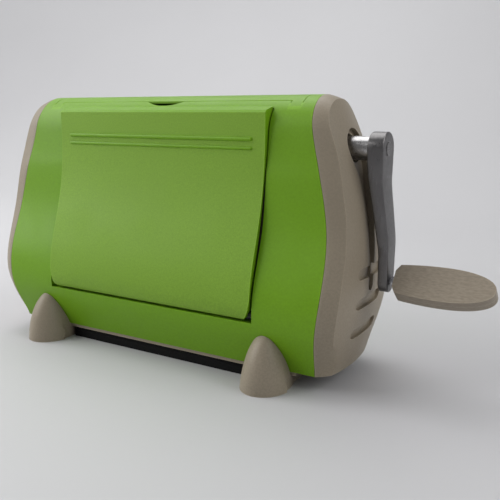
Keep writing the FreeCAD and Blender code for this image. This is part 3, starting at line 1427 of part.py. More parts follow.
fast = d.fixed_clearance
free = d.running_clearance
node("upper_timing_gear", solid("UpperTimingGear", make_gear(
    d.timing_teeth, d.timing_width, d.timing_start, d.upper_axis, d.shaft_radius + fast, tooth_down(d.timing_teeth))))
node("lower_timing_gear", solid("LowerTimingGear", make_gear(
    d.timing_teeth, d.timing_width, d.timing_start, d.lower_axis, d.shaft_radius + fast, gap_up(d.timing_teeth))))
node("drive_gear", solid("DriveGear", make_gear(
    d.drive_teeth, d.drive_width, d.drive_start, d.upper_axis, d.shaft_radius + fast, gap_up(d.drive_teeth))))
pinion = make_gear(d.idler_pinion_teeth, d.drive_width, d.drive_start, d.idler_axis, d.spindle_radius + free,
                   tooth_down(d.idler_pinion_teeth))
sleeve_start = d.frame_outer + d.fit_gap
sleeve = bar(d.idler_hub_radius, (sleeve_start, 0, d.idler_axis), d.wheel_start - sleeve_start)
sleeve = sleeve.cut(bar(d.spindle_radius + free, (sleeve_start, 0, d.idler_axis), d.wheel_start - sleeve_start))
node("idler_pinion", solid("IdlerPinion", pinion.fuse(sleeve)))
node("idler_wheel", solid("IdlerWheel", make_gear(
    d.idler_wheel_teeth, d.wheel_width, d.wheel_start, d.idler_axis, d.spindle_radius + free,
    gap_up(d.idler_wheel_teeth))))
node("crank_pinion", solid("CrankPinion", make_gear(
    d.crank_pinion_teeth, d.wheel_width, d.wheel_start, d.crank_axis, d.crank_journal_radius + fast,
    tooth_down(d.crank_pinion_teeth))))
node("idler_shaft", rod("IdlerShaft", "Sizes.spindle_radius", f"{at.bridge_end} - {at.frame_inner}",
                        (at.frame_inner, "0", at.idler_axis)))
node("gear_bridge", make_gear_bridge())
node("bridge_posts", make_bridge_posts())
node("bridge_screws", group("BridgeScrews", side_screws("BridgeScrew", POSTS, at.bridge_end, 1)))
node("crank_shaft", make_crank_shaft())
node("crank_arm", solid("CrankArm", make_crank_arm()))
node("crank_cap", rod("CrankCap", "Sizes.crank_cap_radius", "Sizes.crank_cap_height",
                      (f"{at.arm_start} + Sizes.arm_boss_thickness", "0", at.crank_axis)))
node("grip_pin", make_grip_pin())
node("grip_top_half", solid("GripTopHalf", make_grip_half(1)))
node("grip_bottom_half", solid("GripBottomHalf", make_grip_half(-1)))
node("carry_handle", solid("CarryHandle", make_handle()))
node("handle_legs", make_handle_legs())
node("handle_yoke", make_handle_yoke())
node("handle_well", solid("HandleWell", make_well()))

doc.recompute()
for obj in doc.Objects:
    if "Invalid" in obj.State or "Error" in obj.State:
        raise RuntimeError(f"{obj.Name} did not recompute: {obj.State}")
os.makedirs("parts", exist_ok=True)
for obj in NODES:
    if obj.Shape.isNull() or not obj.Shape.isValid():
        raise RuntimeError(f"{obj.Label} has no valid shape")
    obj.Shape.exportStep(f"parts/{obj.Label}.step")
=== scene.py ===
import json
import logging
import math
from dataclasses import dataclass, field
from enum import Enum
from typing import Sequence

import bmesh
import bpy
import numpy as np
from mathutils import Matrix, Vector
from mathutils.kdtree import KDTree

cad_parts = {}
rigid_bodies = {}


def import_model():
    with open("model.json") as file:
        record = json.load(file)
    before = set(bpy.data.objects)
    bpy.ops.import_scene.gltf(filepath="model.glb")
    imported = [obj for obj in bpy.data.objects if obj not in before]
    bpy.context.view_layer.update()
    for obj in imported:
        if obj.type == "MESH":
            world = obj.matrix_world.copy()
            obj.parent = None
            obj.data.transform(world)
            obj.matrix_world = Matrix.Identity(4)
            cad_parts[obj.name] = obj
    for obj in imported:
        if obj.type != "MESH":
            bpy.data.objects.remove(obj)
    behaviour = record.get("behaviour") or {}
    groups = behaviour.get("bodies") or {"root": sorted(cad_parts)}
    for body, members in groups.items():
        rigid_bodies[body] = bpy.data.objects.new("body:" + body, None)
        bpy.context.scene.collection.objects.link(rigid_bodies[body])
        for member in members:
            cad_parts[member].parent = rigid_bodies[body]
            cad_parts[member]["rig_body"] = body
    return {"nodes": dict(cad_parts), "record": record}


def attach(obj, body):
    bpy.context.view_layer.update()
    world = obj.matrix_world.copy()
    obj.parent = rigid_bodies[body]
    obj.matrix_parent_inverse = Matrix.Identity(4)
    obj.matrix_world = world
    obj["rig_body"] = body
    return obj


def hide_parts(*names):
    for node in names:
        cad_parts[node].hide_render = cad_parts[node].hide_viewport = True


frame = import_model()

LOG = logging.getLogger("die_cutter")
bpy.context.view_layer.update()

Colour = tuple[float, float, float]
Point = tuple[float, float, float]
Band = tuple[float, float]
Table = tuple[tuple[float, float], ...]

NOISE_BAND = (0.3, 0.7)
FULL_BAND = (0.0, 1.0)
TINY = 1e-9
MERGE_REACH = 1e-6
FLAT_ANGLE = math.radians(0.02)


class Slot(Enum):
    """The finishes that the record names."""

    GREEN = "green_plastic"
    BEIGE = "beige_plastic"
    INNER = "inner_plastic"
    TRAY = "tray_plastic"
    RUBBER = "black_rubber"
    PLATE = "steel_plate"
    ROLLER = "roller_steel"
    GEAR = "gear_steel"
    FASTENER = "fastener_steel"
    BRASS = "bush_brass"
    CRANK = "crank_metal"
    CAP = "cap_metal"


class Heading(Enum):
    """The way that a screw's head faces."""

    RIGHT = (1.0, 0.0, 0.0)
    LEFT = (-1.0, 0.0, 0.0)
    UP = (0.0, 0.0, 1.0)


class Variant(Enum):
    """Finishes that some pieces have instead of the usual one of their slot."""

    DOOR = "grained_green_door"
    GRIP = "streaked_grip"
    HUB = "turned_hub"
    PIN = "blackened_pin"


class Wiring:
    """Nodes and links under construction."""

    def __init__(self, tree: bpy.types.NodeTree) -> None:
        """Starts on a tree."""
        self.tree = tree

    def add(self, kind: str, **settings: object) -> bpy.types.Node:
        """Adds a node and sets its plain properties.

        Args:
            kind: the node's type.
            settings: properties by name.

        Returns:
            The new node.
        """
        made = self.tree.nodes.new(kind)
        for key, value in settings.items():
            setattr(made, key, value)
        return made

    def link(self, source: bpy.types.NodeSocket, target: bpy.types.NodeSocket) -> None:
        """Joins two sockets."""
        self.tree.links.new(source, target)

    def fed(self, kind: str, feeds: dict[str | int, object], **settings: object) -> bpy.types.Node:
        """Adds a node and feeds its inputs.

        Args:
            kind: the node's type.
            feeds: a socket or a value for each input, by its name or number.
            settings: the node's plain properties by name.

        Returns:
            The new node.
        """
        made = self.add(kind, **settings)
        for key, source in feeds.items():
            if isinstance(source, bpy.types.NodeSocket):
                self.link(source, made.inputs[key])
            else:
                made.inputs[key].default_value = source
        return made

    def spread(self, source: bpy.types.NodeSocket, start: float, end: float, low: float, high: float
               ) -> bpy.types.NodeSocket:
        """Maps one range of a value to another, and keeps it there.

        Args:
            source: the value.
            start: where the range begins.
            end: where the range ends.
            low: what the start becomes.
            high: what the end becomes.

        Returns:
            The mapped value.
        """
        feeds = {"Value": source, "From Min": start, "From Max": end, "To Min": low, "To Max": high}
        return self.fed("ShaderNodeMapRange", feeds, clamp=True).outputs["Result"]


class Shade(Wiring):
    """A material under construction."""

    def __init__(self, name: str) -> None:
        """Starts a plain surface.

        Args:
            name: the material's name.
        """
        self.material = bpy.data.materials.new(name)
        self.material.use_nodes = True
        super().__init__(self.material.node_tree)
        self.surface = self.tree.nodes["Principled BSDF"]
        self.place = self.add("ShaderNodeTexCoord").outputs["Object"]

    def noise(self, scale: float, stretch: Point = (1.0, 1.0, 1.0), detail: float = 2.0
              ) -> bpy.types.NodeSocket:
        """Adds cloud noise over the object's own coordinates.

        Args:
            scale: how many features there are to a metre.
            stretch: factors on the scale along X, Y and Z.
            detail: how many finer layers it has.

        Returns:
            The noise's value, about 0.5 in the middle.
        """
        mapping = self.fed("ShaderNodeMapping", {"Vector": self.place, "Scale": stretch})
        feeds = {"Vector": mapping.outputs["Vector"], "Scale": scale, "Detail": detail}
        return self.fed("ShaderNodeTexNoise", feeds).outputs["Fac"]

    def tint(self, share: bpy.types.NodeSocket, first: object, second: object) -> bpy.types.NodeSocket:
        """Blends two colours.

        Args:
            share: how much of the second colour there is.
            first: a colour or a socket.
            second: a colour or a socket.

        Returns:
            The blended colour.
        """
        first, second = ((*part, 1.0) if isinstance(part, tuple) else part for part in (first, second))
        feeds = {"Factor": share, 6: first, 7: second}
        return self.fed("ShaderNodeMix", feeds, data_type="RGBA").outputs[2]

    def edges(self, radius: float) -> bpy.types.NodeSocket:
        """Finds the object's edges from the difference between its real and a rounded surface.

        Args:
            radius: how far from an edge the mask reaches, in metres.

        Returns:
            A mask, 1 on an edge.
        """
        even, turned = 0.995, 0.9
        rounded = self.fed("ShaderNodeBevel", {"Radius": radius}, samples=4)
        real = self.add("ShaderNodeNewGeometry")
        feeds = {0: rounded.outputs["Normal"], 1: real.outputs["Normal"]}
        product = self.fed("ShaderNodeVectorMath", feeds, operation="DOT_PRODUCT")
        return self.spread(product.outputs["Value"], even, turned, *FULL_BAND)

    def times(self, first: bpy.types.NodeSocket, second: bpy.types.NodeSocket) -> bpy.types.NodeSocket:
        """Multiplies two values."""
        return self.fed("ShaderNodeMath", {0: first, 1: second}, operation="MULTIPLY").outputs["Value"]

    def finish(self, colour: bpy.types.NodeSocket, gloss: bpy.types.NodeSocket,
               layers: Sequence[tuple[bpy.types.NodeSocket, float, float]]) -> bpy.types.Material:
        """Gives the surface its colour, its roughness and its relief.

        Args:
            colour: the colour.
            gloss: the roughness.
            layers: the relief's layers, each a height socket, a strength and a depth in metres.

        Returns:
            The material.
        """
        normal = None
        for height, strength, depth in layers:
            feeds = {"Strength": strength, "Distance": depth, "Height": height}
            if normal is not None:
                feeds["Normal"] = normal
            normal = self.fed("ShaderNodeBump", feeds).outputs["Normal"]
        for name, source in (("Base Color", colour), ("Roughness", gloss), ("Normal", normal)):
            self.link(source, self.surface.inputs[name])
        return self.material


class Grower(Wiring):
    """A Geometry Nodes tree under construction, with named inputs."""

    def __init__(self, name: str, inputs: dict[str, str]) -> None:
        """Starts a tree that takes a geometry and hands one out.

        Args:
            name: the tree's name.
            inputs: the kind of each of its other inputs, by name.
        """
        super().__init__(bpy.data.node_groups.new(name, "GeometryNodeTree"))
        sockets = self.tree.interface
        for title, kind in {"Geometry": "Geometry", **inputs}.items():
            sockets.new_socket(title, in_out="INPUT", socket_type=f"NodeSocket{kind}")
        sockets.new_socket("Geometry", in_out="OUTPUT", socket_type="NodeSocketGeometry")
        self.given = self.add("NodeGroupInput").outputs

    def vector(self, *parts: object) -> bpy.types.NodeSocket:
        """Joins up to three sockets or values into a vector."""
        return self.fed("ShaderNodeCombineXYZ", dict(enumerate(parts))).outputs[0]

    def end(self, geometry: bpy.types.NodeSocket) -> None:
        """Hands out a geometry, made real and in the finish that is given.

        Args:
            geometry: the geometry.
        """
        real = self.fed("GeometryNodeRealizeInstances", {0: geometry})
        feeds = {"Geometry": real.outputs[0], "Material": self.given["finish"]}
        coat = self.fed("GeometryNodeSetMaterial", feeds)
        self.fed("NodeGroupOutput", {0: coat.outputs[0]})

    def grow(self, piece: bpy.types.Object, **values: object) -> None:
        """Runs the tree on a piece and settles the outcome.

        Args:
            piece: the piece.
            values: the tree's inputs, by name.
        """
        grower = piece.modifiers.new(self.tree.name, "NODES")
        grower.node_group = self.tree
        for item in self.tree.interface.items_tree:
            if item.in_out == "INPUT" and item.name in values:
                grower[item.identifier] = values[item.name]
        settle(piece)


def lighter(colour: Colour, factor: float) -> Colour:
    """Makes a colour lighter or darker by a factor."""
    return tuple(min(part * factor, 1.0) for part in colour)


@dataclass(frozen=True)
class MouldedPlastic:
    """Matt moulded plastic with a fine grain, faint clouding, and edges painted lighter in patches: a painted
    highlight along the rims that partly stands for wear.
    """

    name: str
    colour: Colour
    roughness: float = 0.5
    grain: float = 1800.0
    stretch: Point = (1.0, 1.0, 1.0)
    grain_depth: float = 0.00003
    cloud: float = 0.04
    speck: float = 0.1
    # how strongly the edges are painted lighter: a painted highlight, partly wear
    rub: float = 0.3
    mirror: float = 0.3
    cloud_scale: float = 11.0
    cloud_relief: tuple[float, float] = (0.15, 0.0006)
    grain_strength: float = 0.35
    speck_share: float = 0.45
    patch_scale: float = 60.0
    patch_band: Band = (0.35, 0.65)
    patch_share: Band = (0.4, 1.0)
    edge_reach: float = 0.0012
    edge_light: float = 1.9
    gloss_scale: float = 45.0
    gloss_swing: float = 0.05

    def make(self) -> bpy.types.Material:
        """Builds the finish.

        Returns:
            The material.
        """
        shade = Shade(self.name)
        shade.surface.inputs["Specular IOR Level"].default_value = self.mirror
        clouds = shade.noise(self.cloud_scale, detail=3.0)
        grain = shade.noise(self.grain, self.stretch)
        speckle = shade.noise(self.grain * self.speck_share, self.stretch, 1.0)
        base = shade.tint(shade.spread(clouds, *NOISE_BAND, *FULL_BAND),
                          lighter(self.colour, 1 - self.cloud), lighter(self.colour, 1 + self.cloud))
        share = shade.spread(speckle, *NOISE_BAND, *FULL_BAND)
        base = shade.tint(share, base, lighter(self.colour, 1 - self.speck))
        patches = shade.spread(shade.noise(self.patch_scale), *self.patch_band, *self.patch_share)
        # edges painted lighter where the patch noise allows: a painted highlight along the rims, partly wear
        wear_and_highlight_mask = shade.times(shade.edges(self.edge_reach), patches)
        wear_and_highlight_mask = shade.spread(wear_and_highlight_mask, *FULL_BAND, 0.0, self.rub)
        base = shade.tint(wear_and_highlight_mask, base, lighter(self.colour, self.edge_light))
        gloss = shade.spread(shade.noise(self.gloss_scale), *NOISE_BAND,
                             self.roughness - self.gloss_swing, self.roughness + self.gloss_swing)
        layers = [(clouds, *self.cloud_relief), (grain, self.grain_strength, self.grain_depth)]
        return shade.finish(base, gloss, layers)


@dataclass(frozen=True)
class WorkedMetal:
    """Metal with tool marks along one direction, faint stains, and edges painted brighter as a painted
    highlight.
    """

    name: str
    colour: Colour
    roughness: float = 0.35
    stretch: Point = (1.0, 1.0, 1.0)
    marks: float = 700.0
    mark_relief: tuple[float, float] = (0.3, 0.00001)
    mark_share: Band = (0.0, 0.5)
    stain: float = 0.12
    stain_scale: float = 38.0
    stain_band: Band = (0.35, 0.7)
    edge_highlight: float = 0.5
    edge_reach: float = 0.0008
    edge_light: float = 1.7
    gloss_below: float = 0.07
    gloss_above: float = 0.09

    def make(self) -> bpy.types.Material:
        """Builds the finish.

        Returns:
            The material.
        """
        shade = Shade(self.name)
        shade.surface.inputs["Metallic"].default_value = 1.0
        marks = shade.noise(self.marks, self.stretch, 3.0)
        stains = shade.noise(self.stain_scale, detail=4.0)
        base = shade.tint(shade.spread(stains, *self.stain_band, *FULL_BAND),
                          lighter(self.colour, 1 + self.stain), lighter(self.colour, 1 - self.stain))
        share = shade.spread(marks, *NOISE_BAND, *self.mark_share)
        base = shade.tint(share, base, lighter(self.colour, 1 - self.stain))
        # edges painted brighter: a painted highlight
        bright = shade.spread(shade.edges(self.edge_reach), *FULL_BAND, 0.0, self.edge_highlight)
        base = shade.tint(bright, base, lighter(self.colour, self.edge_light))
        gloss = shade.spread(marks, *NOISE_BAND,
                             self.roughness - self.gloss_below, self.roughness + self.gloss_above)
        return shade.finish(base, gloss, [(marks, *self.mark_relief)])


@dataclass(frozen=True)
class MouldedRubber:
    """Dark rubber with dust in its pores."""

    name: str
    colour: Colour
    dust: Colour = (0.014, 0.014, 0.0135)
    roughness: float = 0.75
    mirror: float = 0.15
    pore_scale: float = 1500.0
    pore_relief: tuple[float, float] = (0.4, 0.00004)
    dust_scale: float = 30.0
    dust_band: Band = (0.45, 0.8)
    dust_share: Band = (0.0, 0.35)
    gloss_swing: float = 0.08

    def make(self) -> bpy.types.Material:
        """Builds the finish.

        Returns:
            The material.
        """
        shade = Shade(self.name)
        shade.surface.inputs["Specular IOR Level"].default_value = self.mirror
        pores = shade.noise(self.pore_scale, detail=3.0)
        dust = shade.noise(self.dust_scale, detail=5.0)
        share = shade.spread(dust, *self.dust_band, *self.dust_share)
        base = shade.tint(share, self.colour, self.dust)
        gloss = shade.spread(pores, *NOISE_BAND,
                             self.roughness - self.gloss_swing, self.roughness + self.gloss_swing)
        return shade.finish(base, gloss, [(pores, *self.pore_relief)])


@dataclass
class Paintbox:
    """Every finish of the machine, each made once."""

    made: dict[Slot | Variant, bpy.types.Material] = field(default_factory=dict)

    def mix(self) -> None:
        """Makes all the finishes."""
        finishes = {
            # the shell and the door panel are one green plastic: the panel's grain and specks are real, and
            # its colour is painted lighter than the shell's, painted light for how the light falls on them
            Slot.GREEN: MouldedPlastic("apple_green_shell", (0.168, 0.36, 0.009), 0.42, mirror=0.26),
            Variant.DOOR: MouldedPlastic("apple_green_door", (0.225, 0.415, 0.037), 0.5, grain=2600.0,
                                         grain_depth=0.00005, speck=0.16, mirror=0.25),
            # the grip is the caps' beige plastic with a real streaked grain; its colour is painted lighter
            # than the caps', painted light on its top
            Variant.GRIP: MouldedPlastic("warm_grey_grip", (0.35, 0.298, 0.23), 0.48, grain=2600.0,
                                         stretch=(0.3, 1.0, 1.0), grain_depth=0.00005, speck=0.2),
            Variant.HUB: WorkedMetal("turned_hub", (0.5, 0.49, 0.49), 0.3, (6.0, 1.0, 1.0)),
            Variant.PIN: WorkedMetal("blackened_pin", (0.035, 0.035, 0.035), 0.5),
            Slot.BEIGE: MouldedPlastic("warm_grey_shell", (0.315, 0.268, 0.2), 0.44),
            Slot.INNER: MouldedPlastic("dark_brown_inner", (0.075, 0.06, 0.045), 0.6),
            Slot.TRAY: MouldedPlastic("feed_tray_grey", (0.3, 0.27, 0.22), 0.42),
            Slot.RUBBER: MouldedRubber("pad_rubber", (0.005, 0.005, 0.005)),
            Slot.PLATE: WorkedMetal("pressed_plate", (0.42, 0.43, 0.44), 0.42, (1.0, 1.0, 6.0)),
            Slot.ROLLER: WorkedMetal("ground_roller", (0.55, 0.56, 0.57), 0.22, (9.0, 1.0, 1.0)),
            Slot.GEAR: WorkedMetal("cut_gear", (0.38, 0.38, 0.39), 0.34, (5.0, 1.0, 1.0)),
            Slot.FASTENER: WorkedMetal("plated_screw", (0.5, 0.5, 0.52), 0.3),
            Slot.BRASS: WorkedMetal("bush_brass", (0.62, 0.42, 0.16), 0.32),
            # the crank's edges are painted brighter still: a painted highlight
            Slot.CRANK: WorkedMetal("cast_crank", (0.175, 0.17, 0.17), 0.33, (1.0, 1.0, 0.12), marks=1400.0,
                                    edge_highlight=0.8),
            Slot.CAP: WorkedMetal("crank_cap_disc", (0.2, 0.195, 0.195), 0.3),
        }
        for kind, finish in finishes.items():
            self.made[kind] = finish.make()

    def of(self, kind: Slot | Variant) -> bpy.types.Material:
        """Gives a finish's material."""
        return self.made[kind]


def slots_by_node() -> dict[str, Slot]:
    """Reads which finish each CAD node has, by the node's name."""
    return {part["node"]: Slot(part["material_slot"]) for part in frame["record"]["subparts"]}


def link_to_scene(name: str, form: bpy.types.Mesh | bmesh.types.BMesh) -> bpy.types.Object:
    """Puts a form in the scene.

    Args:
        name: the new object's name.
        form: a mesh, or a form under construction, which is used up.

    Returns:
        The object.
    """
    mesh = form
    if isinstance(form, bmesh.types.BMesh):
        mesh = bpy.data.meshes.new(name)
        form.to_mesh(mesh)
        form.free()
    made = bpy.data.objects.new(name, mesh)
    bpy.context.scene.collection.objects.link(made)
    return made


def settle(piece: bpy.types.Object) -> None:
    """Turns a piece's modifiers into plain mesh.

    Args:
        piece: the piece, which keeps its place.
    """
    graph = bpy.context.evaluated_depsgraph_get()
    mesh = bpy.data.meshes.new_from_object(piece.evaluated_get(graph))
    piece.modifiers.clear()
    piece.data = mesh


def cover(shape: bmesh.types.BMesh, rows: Sequence[Sequence[bmesh.types.BMVert]], solid: bool = True) -> None:
    """Lays faces between rows of corners.

    Args:
        shape: the form that the corners are in.
        rows: the rows, each as long as the next.
        solid: whether the rows are rings, and the first and the last are closed too.
    """
    for row, following in zip(rows, rows[1:]):
        for number in range(len(row) if solid else len(row) - 1):
            near = (number + 1) % len(row)
            shape.faces.new((row[number], row[near], following[near], following[number]))
    if solid:
        shape.faces.new(rows[0])
        shape.faces.new(rows[-1])
    bmesh.ops.recalc_face_normals(shape, faces=shape.faces)


def between(table: Table, place: float) -> float:
    """Reads a value between the entries of a table, and holds its ends.

    Args:
        table: places in rising order, each with its value.
        place: where the value is wanted.

    Returns:
        The value.
    """
    for (start, first), (end, second) in zip(table, table[1:]):
        if place <= end:
            return first + (second - first) * max(place - start, 0.0) / (end - start)
    return table[-1][1]


def drawn_in(place: float, centre: float, share: float) -> float:
    """Moves a place so that only a share of its distance from a centre is left."""
    return centre + (place - centre) * share


def smooth_runs(shape: bmesh.types.BMesh, level: float = 0.03, smooth: float = 14.0
                ) -> list[list[bmesh.types.BMFace]]:
    """Gathers the faces drawn out along X into runs with no sharp edge inside.

    Args:
        shape: the form.
        level: how far a face's normal may lean along X.
        smooth: the greatest angle, in degrees, between two faces of one run.

    Returns:
        The runs.
    """
    shape.normal_update()
    shape.faces.ensure_lookup_table()
    left = {face.index for face in shape.faces if abs(face.normal.x) < level}
    runs = []
    while left:
        run, queue = [], [left.pop()]
        while queue:
            face = shape.faces[queue.pop()]
            run.append(face)
            for edge in face.edges:
                if len(edge.link_faces) == 2 and edge.calc_face_angle(math.pi) < math.radians(smooth):
                    following = {other.index for other in edge.link_faces} & left
                    queue.extend(following)
                    left -= following
        runs.append(run)
    return runs


@dataclass
class DrawnForm:
    """The true normals of a form that is drawn out along X, found from where its corners lie."""

    level: float = 0.06
    reach: float = 0.005
    fewest: int = 10
    spread_share: float = 0.25
    fewest_near: int = 4
    near: float = 0.0012
    nearest: int = 6
    agree: float = 0.97
    soft: float = 1e-5
    digits: int = 6
    spots: list[Vector] = field(default_factory=list)
    normals: list[Vector] = field(default_factory=list)

    def learn(self, shape: bmesh.types.BMesh) -> None:
        """Fits the section's curve through the corners of each smooth run of faces.

        Args:
            shape: the form before its edges are rounded.
        """
        for run in smooth_runs(shape):
            self.fit({(round(vert.co.y, self.digits), round(vert.co.z, self.digits)): face.normal
                      for face in run for vert in face.verts})

    def fit(self, corners: dict[tuple[float, float], Vector]) -> None:
        """Finds the normal at each corner of one smooth run from its neighbours.

        Args:
            corners: where the run's corners lie across the form, each with a normal from one of its faces.
        """
        if len(corners) < self.fewest:
            return
        tree = KDTree(len(corners))
        places = [Vector((0.0, *corner)) for corner in corners]
        for number, place in enumerate(places):
            tree.insert(place, number)
        tree.balance()
        for place, rough in zip(places, corners.values()):
            up = Vector((0.0, rough.y, rough.z)).normalized()
            along = Vector((0.0, -up.z, up.y))
            around = [spot - place for spot, _, _ in tree.find_range(place, self.reach)]
            steps = np.array([[step.dot(along) ** 2, step.dot(along), 1.0] for step in around])
            if len(around) < self.fewest_near or np.ptp(steps[:, 1]) < self.reach * self.spread_share:
                continue
            slope = np.linalg.lstsq(steps, np.array([step.dot(up) for step in around]), rcond=None)[0][1]
            self.spots.append(place)
            self.normals.append((up - along * float(slope)).normalized())

    def apply(self, mesh: bpy.types.Mesh) -> None:
        """Gives the corners that lie on the fitted curves their true normals.

        Args:
            mesh: the finished piece's mesh.
        """
        tree = KDTree(len(self.spots))
        for number, spot in enumerate(self.spots):
            tree.insert(spot, number)
        tree.balance()
        result = [Vector(corner.vector) for corner in mesh.corner_normals]
        for face in mesh.polygons:
            if abs(face.normal.x) > self.level:
                continue
            for number in face.loop_indices:
                place = mesh.vertices[mesh.loops[number].vertex_index].co
                flat = Vector((0.0, place.y, place.z))
                total = Vector()
                for _, other, distance in tree.find_n(flat, self.nearest):
                    if distance < self.near and self.normals[other].dot(result[number]) > self.agree:
                        total += self.normals[other] / (distance + self.soft)
                if total.length > 0.0:
                    result[number] = total.normalized()
        mesh.normals_split_custom_set(result)


@dataclass
class SubAssembly:
    """Pieces that are dressed together, each over the CAD node of its name."""

    paint: Paintbox
    slots: dict[str, Slot]

    def hand_over(self, piece: bpy.types.Object, node: str, *finishes: Slot | Variant) -> bpy.types.Object:
        """Lets a piece stand for a CAD node, on the same body.

        Args:
            piece: the dressed piece.
            node: the CAD node's name.
            finishes: what it wears, in the order of its faces' numbers, instead of its slot's usual finish.

        Returns:
            The piece.
        """
        slot = self.slots[node]
        numbers = [face.material_index for face in piece.data.polygons]
        piece.data.materials.clear()
        for finish in finishes or (slot,):
            piece.data.materials.append(self.paint.of(finish))
        if len(finishes) > 1:
            piece.data.polygons.foreach_set("material_index", numbers)
        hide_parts(node)
        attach(piece, frame["nodes"][node]["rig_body"])
        LOG.info("%s stands for %s", piece.name, node)
        return piece

    def copied(self, node: str) -> bmesh.types.BMesh:
        """Copies a CAD node's mesh, merged and with its flat faces whole.

        Args:
            node: the CAD node's name.

        Returns:
            The copy, free to be reshaped.
        """
        shape = bmesh.new()
        shape.from_mesh(frame["nodes"][node].data)
        bmesh.ops.remove_doubles(shape, verts=shape.verts, dist=MERGE_REACH)
        bmesh.ops.dissolve_limit(shape, angle_limit=FLAT_ANGLE, verts=shape.verts, edges=shape.edges)
        return shape

    def dress(self, node: str, shape: bmesh.types.BMesh, edge: float, *finishes: Slot | Variant,
              steps: int = 2, angle: float | None = 35.0, drawn: bool = False) -> bpy.types.Object:
        """Rounds a form's edges and lets it stand for its CAD node.

        Args:
            node: the CAD node's name.
            shape: the form, which is used up.
            edge: how wide the rounding is, in metres.
            finishes: what it wears, in the order of its faces' numbers, instead of its slot's usual finish.
            steps: how many facets the rounding has.
            angle: the least angle, in degrees, at which an edge is rounded; None leaves that to the weights
                of the edges.
            drawn: whether the form is drawn out along X, with a curved section.

        Returns:
            The piece.
        """
        form = DrawnForm()
        if drawn:
            form.learn(shape)
        piece = link_to_scene(f"{node}_dressed", shape)
        piece.data.shade_smooth()
        bevel = piece.modifiers.new("edges", "BEVEL")
        bevel.width = edge
        bevel.segments = steps
        bevel.limit_method = "WEIGHT" if angle is None else "ANGLE"
        bevel.angle_limit = math.radians(angle or 0.0)
        bevel.miter_outer = "MITER_ARC"
        bevel.material = 0
        bevel.face_strength_mode = "FSTR_ALL"
        normals = piece.modifiers.new("normals", "WEIGHTED_NORMAL")
        normals.mode = "CORNER_ANGLE"
        normals.use_face_influence = True
        settle(piece)
        if drawn:
            form.apply(piece.data)
        return self.hand_over(piece, node, *finishes)

    def soften(self, node: str, edge: float, *finishes: Variant, steps: int = 2) -> bpy.types.Object:
        """Copies a CAD node and rounds its edges, as a mould or a file would leave them."""
        return self.dress(node, self.copied(node), edge, *finishes, steps=steps)


@dataclass(frozen=True)
class CrownStretch:
    """Moves the crown's corners along its curve, for a handle wider and longer than the CAD's."""

    foot: float = 0.160
    crown: float = 0.184
    radius: float = 0.02553
    flat: float = 0.0011
    beside_bar: Table = ((0.0, 0.0), (0.0104, 0.0149), (0.0159, 0.0185), (0.01877, 0.01935), (0.022, 0.022))
    beside_ends: Table = ((0.0, 0.0), (0.0104, 0.0149), (0.0154, 0.0203), (0.026, 0.026))
    along: Table = ((0.0, 0.0), (0.0914, 0.0914), (0.0956, 0.0986), (0.1044, 0.1074), (0.116, 0.116))
    to_ends: Table = ((0.089, 0.0), (0.0956, 1.0))
    to_seam: Table = ((0.105, 1.0), (0.112, 0.0))
    below_skin: Table = ((0.0035, 1.0), (0.0105, 0.0))

    def height(self, across: float) -> float:
        """The crown's height at a distance from the middle."""
        over = min(max(across - self.flat, 0.0), self.radius)
        return self.crown - self.radius + math.sqrt(self.radius ** 2 - over ** 2)

    def move(self, shape: bmesh.types.BMesh) -> None:
        """Moves the corners that lie in the crown.

        Args:
            shape: a copy of a CAD piece.
        """
        for vert in shape.verts:
            spot = vert.co
            across = abs(spot.y)
            if spot.z < self.foot or across > self.beside_ends[-1][0]:
                continue
            bar = between(self.beside_bar, across) if across < self.beside_bar[-1][0] else across
            ends = between(self.to_ends, abs(spot.x))
            wide = bar + (between(self.beside_ends, across) - bar) * ends
            wide = across + (wide - across) * between(self.to_seam, abs(spot.x))
            follow = between(self.below_skin, self.height(across) - spot.z)
            spot.z += (self.height(wide) - self.height(across)) * follow
            spot.y = math.copysign(wide, spot.y)
            if abs(spot.x) < self.along[-1][0]:
                spot.x = math.copysign(between(self.along, abs(spot.x)), spot.x)


